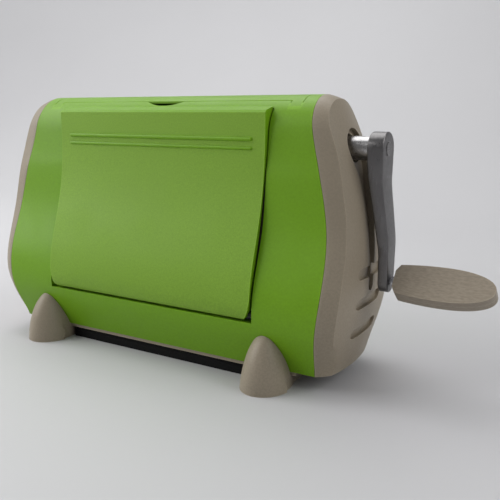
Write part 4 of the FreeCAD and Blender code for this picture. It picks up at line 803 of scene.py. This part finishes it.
@dataclass
class Casing(SubAssembly):
    """The two shell halves and the end caps."""

    shell_edge: float = 0.0006
    cap_edge: float = 0.0009
    crown: CrownStretch = CrownStretch()
    groove_half_width: float = 0.0037
    groove_growth: Table = (
        (0.078, 0.0), (0.098, 0.0018), (0.112, 0.0027), (0.128, 0.0032), (0.136, 0.0043), (0.1397, 0.0031),
        (0.1445, 0.0006), (0.147, 0.0))
    dish_half_width: float = 0.0085
    stretched_half_width: float = 0.022
    stretched_from: float = 0.130
    gill_top: float = 0.082
    gill_stretch: Table = ((0.0, 0.0), (0.004, 0.004), (0.014, 0.021), (0.030, 0.030), (0.1, 0.1))
    hub_height: float = 0.151
    hub_room: float = 0.0095
    dome_bend: Table = (
        (0.026, 3.1), (0.05, 2.4), (0.07, 2.7), (0.082, 3.3), (0.09, 3.9), (0.106, 5.0), (0.134, 6.0))

    def build(self) -> None:
        """Dresses the shells and the caps."""
        for node in ("front_shell", "rear_shell"):
            shape = self.copied(node)
            self.crown.move(shape)
            self.dress(node, shape, self.shell_edge, drawn=True)
        self.build_cap("left_end_cap", -1)
        self.build_cap("right_end_cap", 1)

    def across(self, spot: Vector, grooved: bool) -> float:
        """How far from its middle a point of the cap's dome goes, for longer gills and a wider groove.

        Args:
            spot: where it is.
            grooved: whether the cap has the groove under the hub.

        Returns:
            Its new distance from the middle.
        """
        across = abs(spot.y)
        if spot.z < self.gill_top:
            across = between(self.gill_stretch, across)
        at_hub = math.hypot(spot.y, spot.z - self.hub_height) < self.hub_room
        if grooved and not at_hub and across < self.stretched_half_width:
            near = min(across / self.groove_half_width, 1.0)
            past = max(across - self.dish_half_width, 0.0)
            fall = 1.0 - past / (self.stretched_half_width - self.dish_half_width)
            across += between(self.groove_growth, spot.z) * near * fall
        return across

    def build_cap(self, node: str, side: int) -> bpy.types.Object:
        """Makes an end cap, with its gills and groove drawn out along its dome.

        Args:
            node: the CAD node's name.
            side: 1 for the crank's side, -1 for the other.

        Returns:
            The cap.
        """
        shape = self.copied(node)
        for vert in shape.verts:
            spot = vert.co
            if side * spot.x > self.stretched_from:
                across = self.across(spot, side > 0)
                spot.x -= side * between(self.dome_bend, spot.z) * (across ** 2 - spot.y ** 2)
                spot.y = math.copysign(across, spot.y)
        return self.dress(node, shape, self.cap_edge, steps=3, angle=30.0)


@dataclass
class FeedDoor(SubAssembly):
    """One folding door with its ribbed feed table, hinge pins, throat and bed."""

    name: str = "front"
    turn: float = 0.0
    sheet_edge: float = 0.0004
    pin_edge: float = 0.0003
    rim: float = 0.0024
    crest_share: float = 0.42
    plain_share: float = 0.3
    leaf_half_width: float = 0.088
    crest_foot: float = 0.170
    crest_over: float = 0.004
    crest_length: float = 0.05
    side_foot: float = 0.170 / 3
    side_over: float = 0.002
    close: float = 1e-4
    fold: float = 25.0
    face_level: float = 0.2
    corner_start: float = 0.060
    corner_foot: float = 0.043
    corner_inset: float = 0.007
    panel_area: float = 0.0012
    hinge_place: float = 0.0456
    hinge_height: float = 0.0475
    lean: float = 10.6
    table_rise: float = 0.0015
    table_steps: tuple[int, int] = (12, 8)
    rib_height: float = 0.0006
    rib_sunk: float = 0.0006
    rib_width: float = 0.003
    rib_count: int = 7
    rib_pitch: float = 0.023
    first: float = 0.0096
    last: float = 0.1264
    half_width: float = 0.0858
    plate: float = 0.0014

    def build(self) -> None:
        """Dresses the door and everything behind it."""
        self.build_leaf()
        for part in ("throat", "feed_bed"):
            self.soften(f"{self.name}_{part}", self.sheet_edge)
        self.soften(f"{self.name}_door_pins", self.pin_edge, Variant.PIN)
        self.build_table()

    def build_leaf(self) -> bpy.types.Object:
        """Makes the door itself, with wide soft rims round its outer face.

        Returns:
            The door.
        """
        node = f"{self.name}_door"
        shape = self.copied(node)
        weights = shape.edges.layers.float.new("bevel_weight_edge")
        out = -1.0 if self.turn == 0.0 else 1.0
        for edge in shape.edges:
            if len(edge.link_faces) != 2 or edge.calc_face_angle(0.0) < math.radians(self.fold):
                continue
            start, end = (vert.co for vert in edge.verts)
            middle = (start + end) / 2
            behind = self.hinge_place - (middle.z - self.hinge_height) * math.tan(math.radians(self.lean))
            over = out * middle.y - behind
            edge[weights] = self.plain_share
            at_side = abs(abs(middle.x) - self.leaf_half_width) < self.close
            at_crest = middle.z > self.crest_foot and abs(start.x - end.x) > self.crest_length
            if at_side and over > self.side_over and middle.z > self.side_foot:
                edge[weights] = 1.0
            elif at_crest and over > self.crest_over:
                edge[weights] = self.crest_share
        for run in smooth_runs(shape, self.face_level):
            middle = sum((face.normal * face.calc_area() for face in run), Vector())
            for face in run:
                face.material_index = int(out * middle.y > self.panel_area)
        for vert in shape.verts:
            if vert.co.z < self.corner_start and abs(vert.co.x) > self.leaf_half_width / 2:
                fall = min((self.corner_start - vert.co.z) / (self.corner_start - self.corner_foot), 1.0)
                inset = self.corner_inset * (1.0 - math.sqrt(1.0 - fall ** 2))
                share = (abs(vert.co.x) / self.leaf_half_width - 0.5) / 0.5
                vert.co.x -= math.copysign(inset * share, vert.co.x)
        return self.dress(node, shape, self.rim, Slot.GREEN, Variant.DOOR, steps=4, angle=None, drawn=True)

    def laid_out(self, corners: Sequence[Point]) -> list[Vector]:
        """Turns points laid out on the open table to where they are with the door shut.

        Args:
            corners: points counted outwards from the hinge along Y and up from it along Z.

        Returns:
            The points in the frame.
        """
        hinge = Vector((0.0, -self.hinge_place, self.hinge_height))
        shut = Matrix.Rotation(math.radians(-(90.0 + self.lean)), 4, "X")
        round_body = Matrix.Rotation(self.turn, 4, "Z")
        return [round_body @ (hinge + shut @ Vector(corner)) for corner in corners]

    def build_table(self) -> bpy.types.Object:
        """Makes the feed table: a plate with rounded ribs along the way the plates slide.

        Returns:
            The table.
        """
        floor = self.table_rise - self.rib_height
        shape = bmesh.new()
        across, along = self.table_steps
        bmesh.ops.create_grid(shape, x_segments=across, y_segments=along, size=0.5)
        for vert in shape.verts:
            vert.co.x *= 2 * self.half_width
            vert.co.y = -(self.first + (vert.co.y + 0.5) * (self.last - self.first))
            vert.co.z = floor
        grown = bmesh.ops.extrude_face_region(shape, geom=shape.faces[:])
        lower = [part for part in grown["geom"] if isinstance(part, bmesh.types.BMVert)]
        bmesh.ops.translate(shape, verts=lower, vec=(0.0, 0.0, -self.plate))
        bmesh.ops.recalc_face_normals(shape, faces=shape.faces)
        piece = link_to_scene(f"{self.name}_tray_dressed", shape)
        RibRow().grow(piece, count=self.rib_count, pitch=self.rib_pitch, width=self.rib_width,
                      height=self.rib_height + self.rib_sunk, start=-(self.first + self.rib_width),
                      end=-(self.last - self.rib_width), floor=floor,
                      first=-(self.rib_count - 1) / 2 * self.rib_pitch,
                      finish=self.paint.of(self.slots[f"{self.name}_tray"]))
        spots = self.laid_out([tuple(vert.co) for vert in piece.data.vertices])
        for vert, spot in zip(piece.data.vertices, spots):
            vert.co = spot
        return self.hand_over(piece, f"{self.name}_tray")


class RibRow(Grower):
    """A Geometry Nodes tree that grows a row of rounded ribs on a plate."""

    def __init__(self, fillet: float = 0.0005, facets: int = 3) -> None:
        """Builds the tree.

        Args:
            fillet: the radius of a rib's corners, in metres.
            facets: how many facets each corner has.
        """
        lengths = ("pitch", "width", "height", "start", "end", "floor", "first")
        super().__init__("rib_row", {"count": "Int", **dict.fromkeys(lengths, "Float"), "finish": "Material"})
        given = self.given
        row = self.fed("GeometryNodeMeshLine", {
            "Count": given["count"],
            "Start Location": self.vector(given["first"], 0.0, given["floor"]),
            "Offset": self.vector(given["pitch"])})
        run = self.fed("GeometryNodeCurvePrimitiveLine", {
            "Start": self.vector(0.0, given["start"]),
            "End": self.vector(0.0, given["end"])})
        profile = self.fed("GeometryNodeCurvePrimitiveQuadrilateral", {
            "Height": given["height"],
            "Width": given["width"]})
        rounded = self.fed("GeometryNodeFilletCurve", {
            "Curve": profile.outputs["Curve"],
            "Radius": fillet}, mode="POLY")
        for socket in rounded.inputs:
            if socket.name == "Count":
                socket.default_value = facets
        rib = self.fed("GeometryNodeCurveToMesh", {
            "Curve": run.outputs["Curve"],
            "Profile Curve": rounded.outputs["Curve"],
            "Fill Caps": True})
        ribs = self.fed("GeometryNodeInstanceOnPoints", {
            "Points": row.outputs["Mesh"],
            "Instance": rib.outputs["Mesh"]})
        both = self.fed("GeometryNodeJoinGeometry", {0: ribs.outputs["Instances"]})
        self.link(given["Geometry"], both.inputs[0])
        self.end(both.outputs[0])


class ScrewSet(Grower):
    """A Geometry Nodes tree that sets a screw on every point, along its heading and turned by chance."""

    def __init__(self) -> None:
        """Builds the tree."""
        super().__init__("screw_set", {"screw": "Object", "finish": "Material", "seed": "Int"})
        given = self.given
        screw = self.fed("GeometryNodeObjectInfo", {"Object": given["screw"]})
        heading = self.fed("GeometryNodeInputNamedAttribute", {"Name": "heading"}, data_type="FLOAT_VECTOR")
        aim = self.fed("FunctionNodeAlignRotationToVector", {
            "Vector": heading.outputs["Attribute"]}, axis="Z")
        chance = self.fed("FunctionNodeRandomValue", {"Seed": given["seed"]}, data_type="FLOAT")
        spin = self.fed("FunctionNodeAxisAngleToRotation", {
            "Axis": Heading.UP.value,
            "Angle": [socket for socket in chance.outputs if socket.type == "VALUE"][0]})
        turned = self.fed("FunctionNodeRotateRotation", {
            "Rotation": aim.outputs["Rotation"],
            "Rotate By": spin.outputs["Rotation"]}, rotation_space="LOCAL")
        row = self.fed("GeometryNodeInstanceOnPoints", {
            "Points": given["Geometry"],
            "Instance": screw.outputs["Geometry"],
            "Rotation": turned.outputs["Rotation"]})
        self.end(row.outputs["Instances"])


@dataclass
class Screws(SubAssembly):
    """Screws with rounded heads and cross recesses, set by Geometry Nodes where the CAD has them."""

    head_radius: float = 0.004
    head_height: float = 0.0024
    head_dome: float = 0.0007
    flat_share: float = 0.78
    brim_share: float = 0.93
    side_share: float = 0.4
    shank_radius: float = 0.002
    recess_reach: float = 0.0021
    recess_half_width: float = 0.00045
    recess_depth: float = 0.0011
    recess_foot: float = 0.8
    around: int = 32
    sharp: float = 38.0
    seed: int = 7

    def build(self) -> None:
        """Dresses every set of screws."""
        self.set_in("tie_screws", (Heading.RIGHT, Heading.LEFT))
        self.set_in("bridge_screws", (Heading.RIGHT,))
        self.set_in("frame_screws", (Heading.UP,))

    def recess(self, angle: float) -> float:
        """Tells how far the cross recess reaches.

        Args:
            angle: the angle round the screw.

        Returns:
            The reach from the middle, in metres.
        """
        along, across = abs(math.cos(angle)) + TINY, abs(math.sin(angle)) + TINY
        return max(min(self.recess_reach / along, self.recess_half_width / across),
                   min(self.recess_half_width / along, self.recess_reach / across))

    def one_screw(self, length: float) -> bpy.types.Object:
        """Makes one screw below the origin, with the middle of its head's top there.

        Args:
            length: the whole length, in metres.

        Returns:
            The screw.
        """
        head, shank, tall = self.head_radius, self.shank_radius, self.head_height
        angles = [2 * math.pi * step / self.around for step in range(self.around)]
        recess = [self.recess(angle) for angle in angles]
        rings = [([self.recess_foot * reach for reach in recess], -self.recess_depth), (recess, 0.0)]
        outline = [(self.flat_share * head, 0.0), (self.brim_share * head, 0.0),
                   (head, -self.side_share * tall), (head, -tall), (shank, -tall),
                   (shank, shank / 3 - length), (shank * 2 / 3, -length)]
        rings += [([radius] * self.around, height) for radius, height in outline]
        shape = bmesh.new()
        rows = []
        for reaches, height in rings:
            dome = self.head_dome if height == 0.0 else 0.0
            rows.append([shape.verts.new((reach * math.cos(angle), reach * math.sin(angle),
                                          height - dome * (reach / head) ** 2))
                         for reach, angle in zip(reaches, angles)])
        cover(shape, rows)
        screw = link_to_scene("screw", shape)
        screw.data.shade_smooth()
        screw.data.set_sharp_from_angle(angle=math.radians(self.sharp))
        return screw

    def spots(self, node: str, headings: Sequence[Heading]) -> tuple[list[tuple[Vector, Vector]], float]:
        """Finds where a CAD node's screws are.

        Args:
            node: the CAD node's name.
            headings: the ways that its heads face, the first for those on the right.

        Returns:
            The middle of each head's top with its heading, and the screws' length.
        """
        shape = self.copied(node)
        left, found, length = set(shape.verts), [], 0.0
        while left:
            island, front = set(), [left.pop()]
            while front:
                vert = front.pop()
                island.add(vert)
                near = {edge.other_vert(vert) for edge in vert.link_edges} & left
                left -= near
                front.extend(near)
            low = Vector(min(vert.co[axis] for vert in island) for axis in range(3))
            high = Vector(max(vert.co[axis] for vert in island) for axis in range(3))
            heading = headings[0] if low.x > 0 or len(headings) == 1 else headings[1]
            way = Vector(heading.value)
            length = abs((high - low).dot(way))
            found.append(((low + high) / 2 + way * length / 2, way))
        shape.free()
        return found, length

    def set_in(self, node: str, headings: Sequence[Heading]) -> bpy.types.Object:
        """Sets a node's screws and lets them stand for the CAD's.

        Args:
            node: the CAD node's name.
            headings: the ways that its heads face.

        Returns:
            The screws.
        """
        found, length = self.spots(node, headings)
        screw = self.one_screw(length)
        mesh = bpy.data.meshes.new(f"{node}_dressed")
        mesh.from_pydata([tuple(spot) for spot, _ in found], [], [])
        ways = mesh.attributes.new("heading", "FLOAT_VECTOR", "POINT")
        for item, (_, way) in zip(ways.data, found):
            item.vector = way
        piece = link_to_scene(f"{node}_dressed", mesh)
        ScrewSet().grow(piece, screw=screw, finish=self.paint.of(self.slots[node]), seed=self.seed)
        bpy.data.objects.remove(screw)
        return self.hand_over(piece, node)


@dataclass
class Base(SubAssembly):
    """The pan, the rubber pad and the foot rails."""

    pan_edge: float = 0.0006
    pad_edge: float = 0.0006
    rail_edge: float = 0.0012
    pan_share: float = 0.905
    flare: float = 0.12
    flare_height: float = 0.03
    nose_start: float = 0.045

    def build(self) -> None:
        """Dresses the base, with the pan drawn in from the caps and the feet flared to the floor."""
        shape = self.copied("base_pan")
        for vert in shape.verts:
            vert.co.x *= self.pan_share
        self.dress("base_pan", shape, self.pan_edge)
        self.soften("rubber_base", self.pad_edge, steps=3)
        for node in ("right_foot_rail", "left_foot_rail"):
            rail = self.copied(node)
            middle = sum(vert.co.x for vert in rail.verts) / len(rail.verts)
            for vert in rail.verts:
                low = max(0.0, 1.0 - vert.co.z / self.flare_height)
                if abs(vert.co.y) > self.nose_start:
                    vert.co.x += (vert.co.x - middle) * self.flare * low ** 2
            self.dress(node, rail, self.rail_edge, steps=3, angle=40.0)


@dataclass
class Frame(SubAssembly):
    """The side plates and what ties them together."""

    plate_edge: float = 0.0004
    bar_edge: float = 0.0003

    def build(self) -> None:
        """Dresses the frame."""
        for node in ("right_frame_plate", "left_frame_plate", "gear_bridge", "handle_yoke"):
            self.soften(node, self.plate_edge)
        for node in ("tie_bars", "bridge_posts"):
            self.soften(node, self.bar_edge)


@dataclass
class Rollers(SubAssembly):
    """The two rollers with their clips, and the bushes of every shaft."""

    roller_edge: float = 0.0005
    small_edge: float = 0.00025

    def build(self) -> None:
        """Dresses the rollers."""
        for node in ("upper_roller", "lower_roller"):
            self.soften(node, self.roller_edge)
        for node in ("upper_roller_clip", "lower_roller_clip", "roller_bushes", "bridge_bushes",
                     "crank_bushes"):
            self.soften(node, self.small_edge)


@dataclass
class GearTrain(SubAssembly):
    """The gears between the crank and the rollers."""

    tooth_edge: float = 0.0002

    def build(self) -> None:
        """Dresses the gears."""
        for node in ("upper_timing_gear", "lower_timing_gear", "drive_gear", "idler_pinion", "idler_wheel",
                     "crank_pinion", "idler_shaft"):
            self.soften(node, self.tooth_edge, steps=1)


@dataclass
class Crank(SubAssembly):
    """The crank's shaft, arm and cap, and the turning grip: a slim paddle, tilted round its pin."""

    shaft_edge: float = 0.0004
    arm_edge: float = 0.0006
    disc_edge: float = 0.0001
    pin_edge: float = 0.0004
    boss_inner: float = 0.1473
    boss_outer: float = 0.1575
    inner_share: float = 0.935
    outer_share: float = 0.727
    middle: Table = ((0.092, 0.1599), (0.138, 0.1525))
    slimmer: Table = ((0.068, 0.943), (0.151, 1.0))
    pin_shift: float = -0.0005
    disc_share: float = 0.935
    disc_height_share: float = 0.4
    crank_height: float = 0.151
    grip_start: float = 0.1657
    grip_height: float = 0.0685
    tilt: float = 50.0
    length: float = 0.0608
    half_thickness: float = 0.0056
    root_half_width: float = 0.0056
    corner: float = 0.0026
    shoulder_half_width: float = 0.0098
    belly: float = 0.028
    belly_half_width: float = 0.0114
    roundness: float = 2.3
    bore: float = 0.00205
    bore_depth: float = 0.03425
    bore_step: float = 0.00005
    bore_close: float = 0.0001
    tip_flat: float = 0.00002
    belly_steps: int = 8
    tip_steps: int = 18
    bore_steps: int = 12
    rim: float = 0.0008
    joint_share: float = 0.3

    def half_width(self, run: float) -> float:
        """The grip's half width at a distance from its root.

        Args:
            run: the distance.

        Returns:
            The half width.
        """
        root, shoulder, widest = self.root_half_width, self.shoulder_half_width, self.belly_half_width
        if run < self.corner:
            return root + (shoulder - root) * run / self.corner
        if run < self.belly:
            short = (self.belly - run) / (self.belly - self.corner)
            return widest - (widest - shoulder) * short ** 2
        share = (run - self.belly) / (self.length - self.belly)
        return widest * (1.0 - share ** self.roundness) ** (1.0 / self.roundness)

    def stations(self) -> list[float]:
        """Lists where the grip's sections stand along its pin.

        Returns:
            Their distances from the root, the last just short of the tip.
        """
        straight = [self.corner + (self.belly - self.corner) * number / self.belly_steps
                    for number in range(self.belly_steps)]
        turns = [math.sin(math.radians(90.0 / self.tip_steps * number)) for number in range(self.tip_steps)]
        curved = [self.belly + (self.length - self.belly) * turn for turn in turns]
        bore_end = [self.bore_depth, self.bore_depth + self.bore_step]
        return sorted([0.0, *straight, *curved, *bore_end, self.length - self.tip_flat])

    def build_grip_half(self, node: str, side: int) -> bpy.types.Object:
        """Makes one half of the grip, from sections along its pin, with half of the pin's bore.

        Args:
            node: the CAD node's name.
            side: 1 above the joint line, -1 below it.

        Returns:
            The half.
        """
        pivot = Vector((self.grip_start, 0.0, self.grip_height))
        tilted = Matrix.Rotation(math.radians(self.tilt), 3, "X")
        arc = [math.radians(180.0 / self.bore_steps * number) for number in range(self.bore_steps + 1)]
        shape = bmesh.new()
        rows = []
        for run in self.stations():
            half = self.half_width(run)
            radius = self.bore if run <= self.bore_depth else self.bore_close
            flat = [(-half, 0.0), (-half, self.half_thickness), (half, self.half_thickness), (half, 0.0)]
            flat += [(radius * math.cos(turn), radius * math.sin(turn)) for turn in arc]
            spots = [pivot + tilted @ Vector((run, across, side * up)) for across, up in flat]
            rows.append([shape.verts.new(spot) for spot in spots])
        cover(shape, rows)
        weights = shape.edges.layers.float.new("bevel_weight_edge")
        for row, following in zip(rows, rows[1:]):
            for number, share in ((0, self.joint_share), (1, 1.0), (2, 1.0), (3, self.joint_share)):
                shape.edges.get((row[number], following[number]))[weights] = share
        root, tip = rows[0], rows[-1]
        for ends in ((root[0], root[1]), (root[1], root[2]), (root[2], root[3]), (tip[1], tip[2])):
            shape.edges.get(ends)[weights] = 1.0
        return self.dress(node, shape, self.rim, Variant.GRIP, steps=4, angle=None)

    def build_arm(self) -> None:
        """Makes the arm with a slimmer blade, and the disc and the pin that go with it."""
        arm, disc, pin = (self.copied(node) for node in ("crank_arm", "crank_cap", "grip_pin"))
        for vert in arm.verts:
            spot = vert.co
            if spot.x > between(self.middle, spot.z):
                spot.x = drawn_in(spot.x, self.boss_outer, self.outer_share)
            else:
                spot.x = drawn_in(spot.x, self.boss_inner, self.inner_share)
            spot.y *= between(self.slimmer, spot.z)
        for vert in disc.verts:
            vert.co.x = drawn_in(vert.co.x, self.boss_outer, self.disc_height_share)
            vert.co.y *= self.disc_share
            vert.co.z = drawn_in(vert.co.z, self.crank_height, self.disc_share)
        for vert in pin.verts:
            vert.co.x += self.pin_shift
        self.dress("crank_arm", arm, self.arm_edge, steps=3, angle=40.0)
        self.dress("crank_cap", disc, self.disc_edge)
        self.dress("grip_pin", pin, self.pin_edge)

    def build(self) -> None:
        """Dresses the crank and makes the grip."""
        self.soften("crank_shaft", self.shaft_edge, Variant.HUB)
        self.build_arm()
        self.build_grip_half("grip_top_half", 1)
        self.build_grip_half("grip_bottom_half", -1)


@dataclass
class CarryHandle(SubAssembly):
    """The pull-up handle in the crown and the well below it."""

    crown: CrownStretch = CrownStretch()
    bar_edge: float = 0.0005
    leg_edge: float = 0.0004
    well_edge: float = 0.0004
    lip: float = 0.00168
    notch_steps: int = 12
    notch_half_length: float = 0.017
    bar_half_depth: float = 0.0095
    outside: float = 0.0215

    def notch_room(self) -> bpy.types.Object:
        """Makes the room that fingers need in the handle's front, below a thin lip.

        Returns:
            The room, to be cut out.
        """
        shape = bmesh.new()
        edge = []
        for number in range(self.notch_steps + 1):
            share = number / self.notch_steps
            across = self.bar_half_depth + (self.outside - self.bar_half_depth) * share
            edge.append((-across, self.crown.height(across) - self.lip))
        edge += [(-self.outside, self.crown.foot), (-self.bar_half_depth, self.crown.foot)]
        cover(shape, [[shape.verts.new((side * self.notch_half_length, *corner)) for corner in edge]
                      for side in (-1, 1)])
        return link_to_scene("notch_room", shape)

    def build_bar(self) -> bpy.types.Object:
        """Makes the handle's bar, open to the fingers at its notch.

        Returns:
            The bar.
        """
        node = "carry_handle"
        shape = self.copied(node)
        self.crown.move(shape)
        bar, room = link_to_scene("bar", shape), self.notch_room()
        cut = bar.modifiers.new("notch", "BOOLEAN")
        cut.object = room
        cut.solver = "EXACT"
        settle(bar)
        shape = bmesh.new()
        shape.from_mesh(bar.data)
        for spare in (bar, room):
            bpy.data.objects.remove(spare)
        return self.dress(node, shape, self.bar_edge, drawn=True)

    def build(self) -> None:
        """Dresses the handle and makes its bar."""
        self.build_bar()
        self.soften("handle_legs", self.leg_edge)
        well = self.copied("handle_well")
        self.crown.move(well)
        self.dress("handle_well", well, self.well_edge)


@dataclass
class Studio:
    """The camera, the pale floor and the soft lights."""

    eye: Point = (0.2886, -0.3874, 0.1736)
    pitch: float = 90.0 - 12.04
    heading: float = 30.61
    lens: float = 46.9
    sensor: float = 36.0
    nearest: float = 0.01
    floor_colour: Colour = (0.525, 0.524, 0.535)
    floor_scale: float = 2.0
    floor_swing: float = 0.015
    floor_roughness: float = 0.6
    air_colour: Colour = (0.8, 0.8, 0.82)
    air_strength: Band = (0.26, 0.44)
    air_span: Band = (-0.5, 0.5)
    reach: float = 2.2
    half_breadth: float = 3.5
    bend: float = 0.5
    rise: float = 2.4
    bend_steps: int = 16

    def build(self) -> None:
        """Sets up the whole studio."""
        self.set_camera()
        self.lay_floor()
        self.set_world()
        self.add_light("key", (-0.84, -0.5, 0.66), size=0.9, power=9.8)
        self.add_light("side", (1.5, 0.1, 1.1), size=1.2, power=11.5)
        self.add_light("top", (-0.45, 0.45, 1.5), size=1.3, power=13.0)
        self.add_light("backdrop", (-2.1, 0.1, 1.7), size=2.0, power=31.0, aim=(-2.7, 1.5, 0.4))
        bpy.context.scene.view_settings.view_transform = "Standard"

    def set_camera(self) -> None:
        """Places the camera where the photograph was taken from."""
        camera = bpy.data.cameras.new("camera")
        camera.lens = self.lens
        camera.sensor_width = self.sensor
        camera.clip_start = self.nearest
        viewer = bpy.data.objects.new("camera", camera)
        bpy.context.scene.collection.objects.link(viewer)
        viewer.location = self.eye
        viewer.rotation_euler = (math.radians(self.pitch), 0.0, math.radians(self.heading))
        bpy.context.scene.camera = viewer

    def lay_floor(self) -> None:
        """Lays a pale floor that sweeps up into the backdrop."""
        profile = [(-self.reach, 0.0), (self.bend, 0.0)]
        for step in range(1, self.bend_steps + 1):
            angle = step / self.bend_steps * math.pi / 2
            profile.append((self.bend + math.sin(angle), 1.0 - math.cos(angle)))
        profile.append((self.bend + 1.0, self.rise))
        shape = bmesh.new()
        cover(shape, [[shape.verts.new((side * self.half_breadth, *point)) for point in profile]
                      for side in (1, -1)], solid=False)
        floor = link_to_scene("sweep", shape)
        floor.data.shade_smooth()
        shade = Shade("studio_paper")
        tone = shade.spread(shade.noise(self.floor_scale), *NOISE_BAND, *FULL_BAND)
        colour = shade.tint(tone, lighter(self.floor_colour, 1 - self.floor_swing),
                            lighter(self.floor_colour, 1 + self.floor_swing))
        shade.link(colour, shade.surface.inputs["Base Color"])
        shade.surface.inputs["Roughness"].default_value = self.floor_roughness
        floor.data.materials.append(shade.material)

    def set_world(self) -> None:
        """Fills the room with soft light, dimmer on the camera's side."""
        world = bpy.data.worlds.new("room")
        bpy.context.scene.world = world
        world.use_nodes = True
        air = Wiring(world.node_tree)
        ground = air.tree.nodes["Background"]
        ground.inputs["Color"].default_value = (*self.air_colour, 1.0)
        way = air.add("ShaderNodeTexCoord")
        parts = air.fed("ShaderNodeSeparateXYZ", {0: way.outputs["Generated"]})
        strength = air.spread(parts.outputs["Y"], *self.air_span, *self.air_strength)
        air.link(strength, ground.inputs["Strength"])

    def add_light(self, name: str, place: Point, size: float, power: float, aim: Point = (0.0, 0.0, 0.1)
                  ) -> None:
        """Adds a square soft light.

        Args:
            name: the light's name.
            place: where it stands.
            size: its side, in metres.
            power: its power, in watts.
            aim: what it looks at, the machine unless said otherwise.
        """
        light = bpy.data.lights.new(name, "AREA")
        light.size = size
        light.energy = power
        lamp = bpy.data.objects.new(name, light)
        bpy.context.scene.collection.objects.link(lamp)
        lamp.location = place
        lamp.rotation_euler = (Vector(aim) - Vector(place)).to_track_quat("-Z", "Y").to_euler()


def main() -> None:
    """Builds the dressed machine and its studio."""
    logging.basicConfig(level=logging.INFO, format="%(message)s")
    paint = Paintbox()
    paint.mix()
    slots = slots_by_node()
    for name, kind in (("casing", Casing), ("base", Base), ("frame", Frame), ("rollers", Rollers),
                       ("gear train", GearTrain), ("screws", Screws), ("crank", Crank),
                       ("carrying handle", CarryHandle)):
        kind(paint, slots).build()
        LOG.info("%s dressed", name)
    FeedDoor(paint, slots, name="front", turn=0.0).build()
    FeedDoor(paint, slots, name="rear", turn=math.pi).build()
    LOG.info("doors dressed")
    Studio().build()
    LOG.info("studio set")


if __name__ == "__main__":
    main()
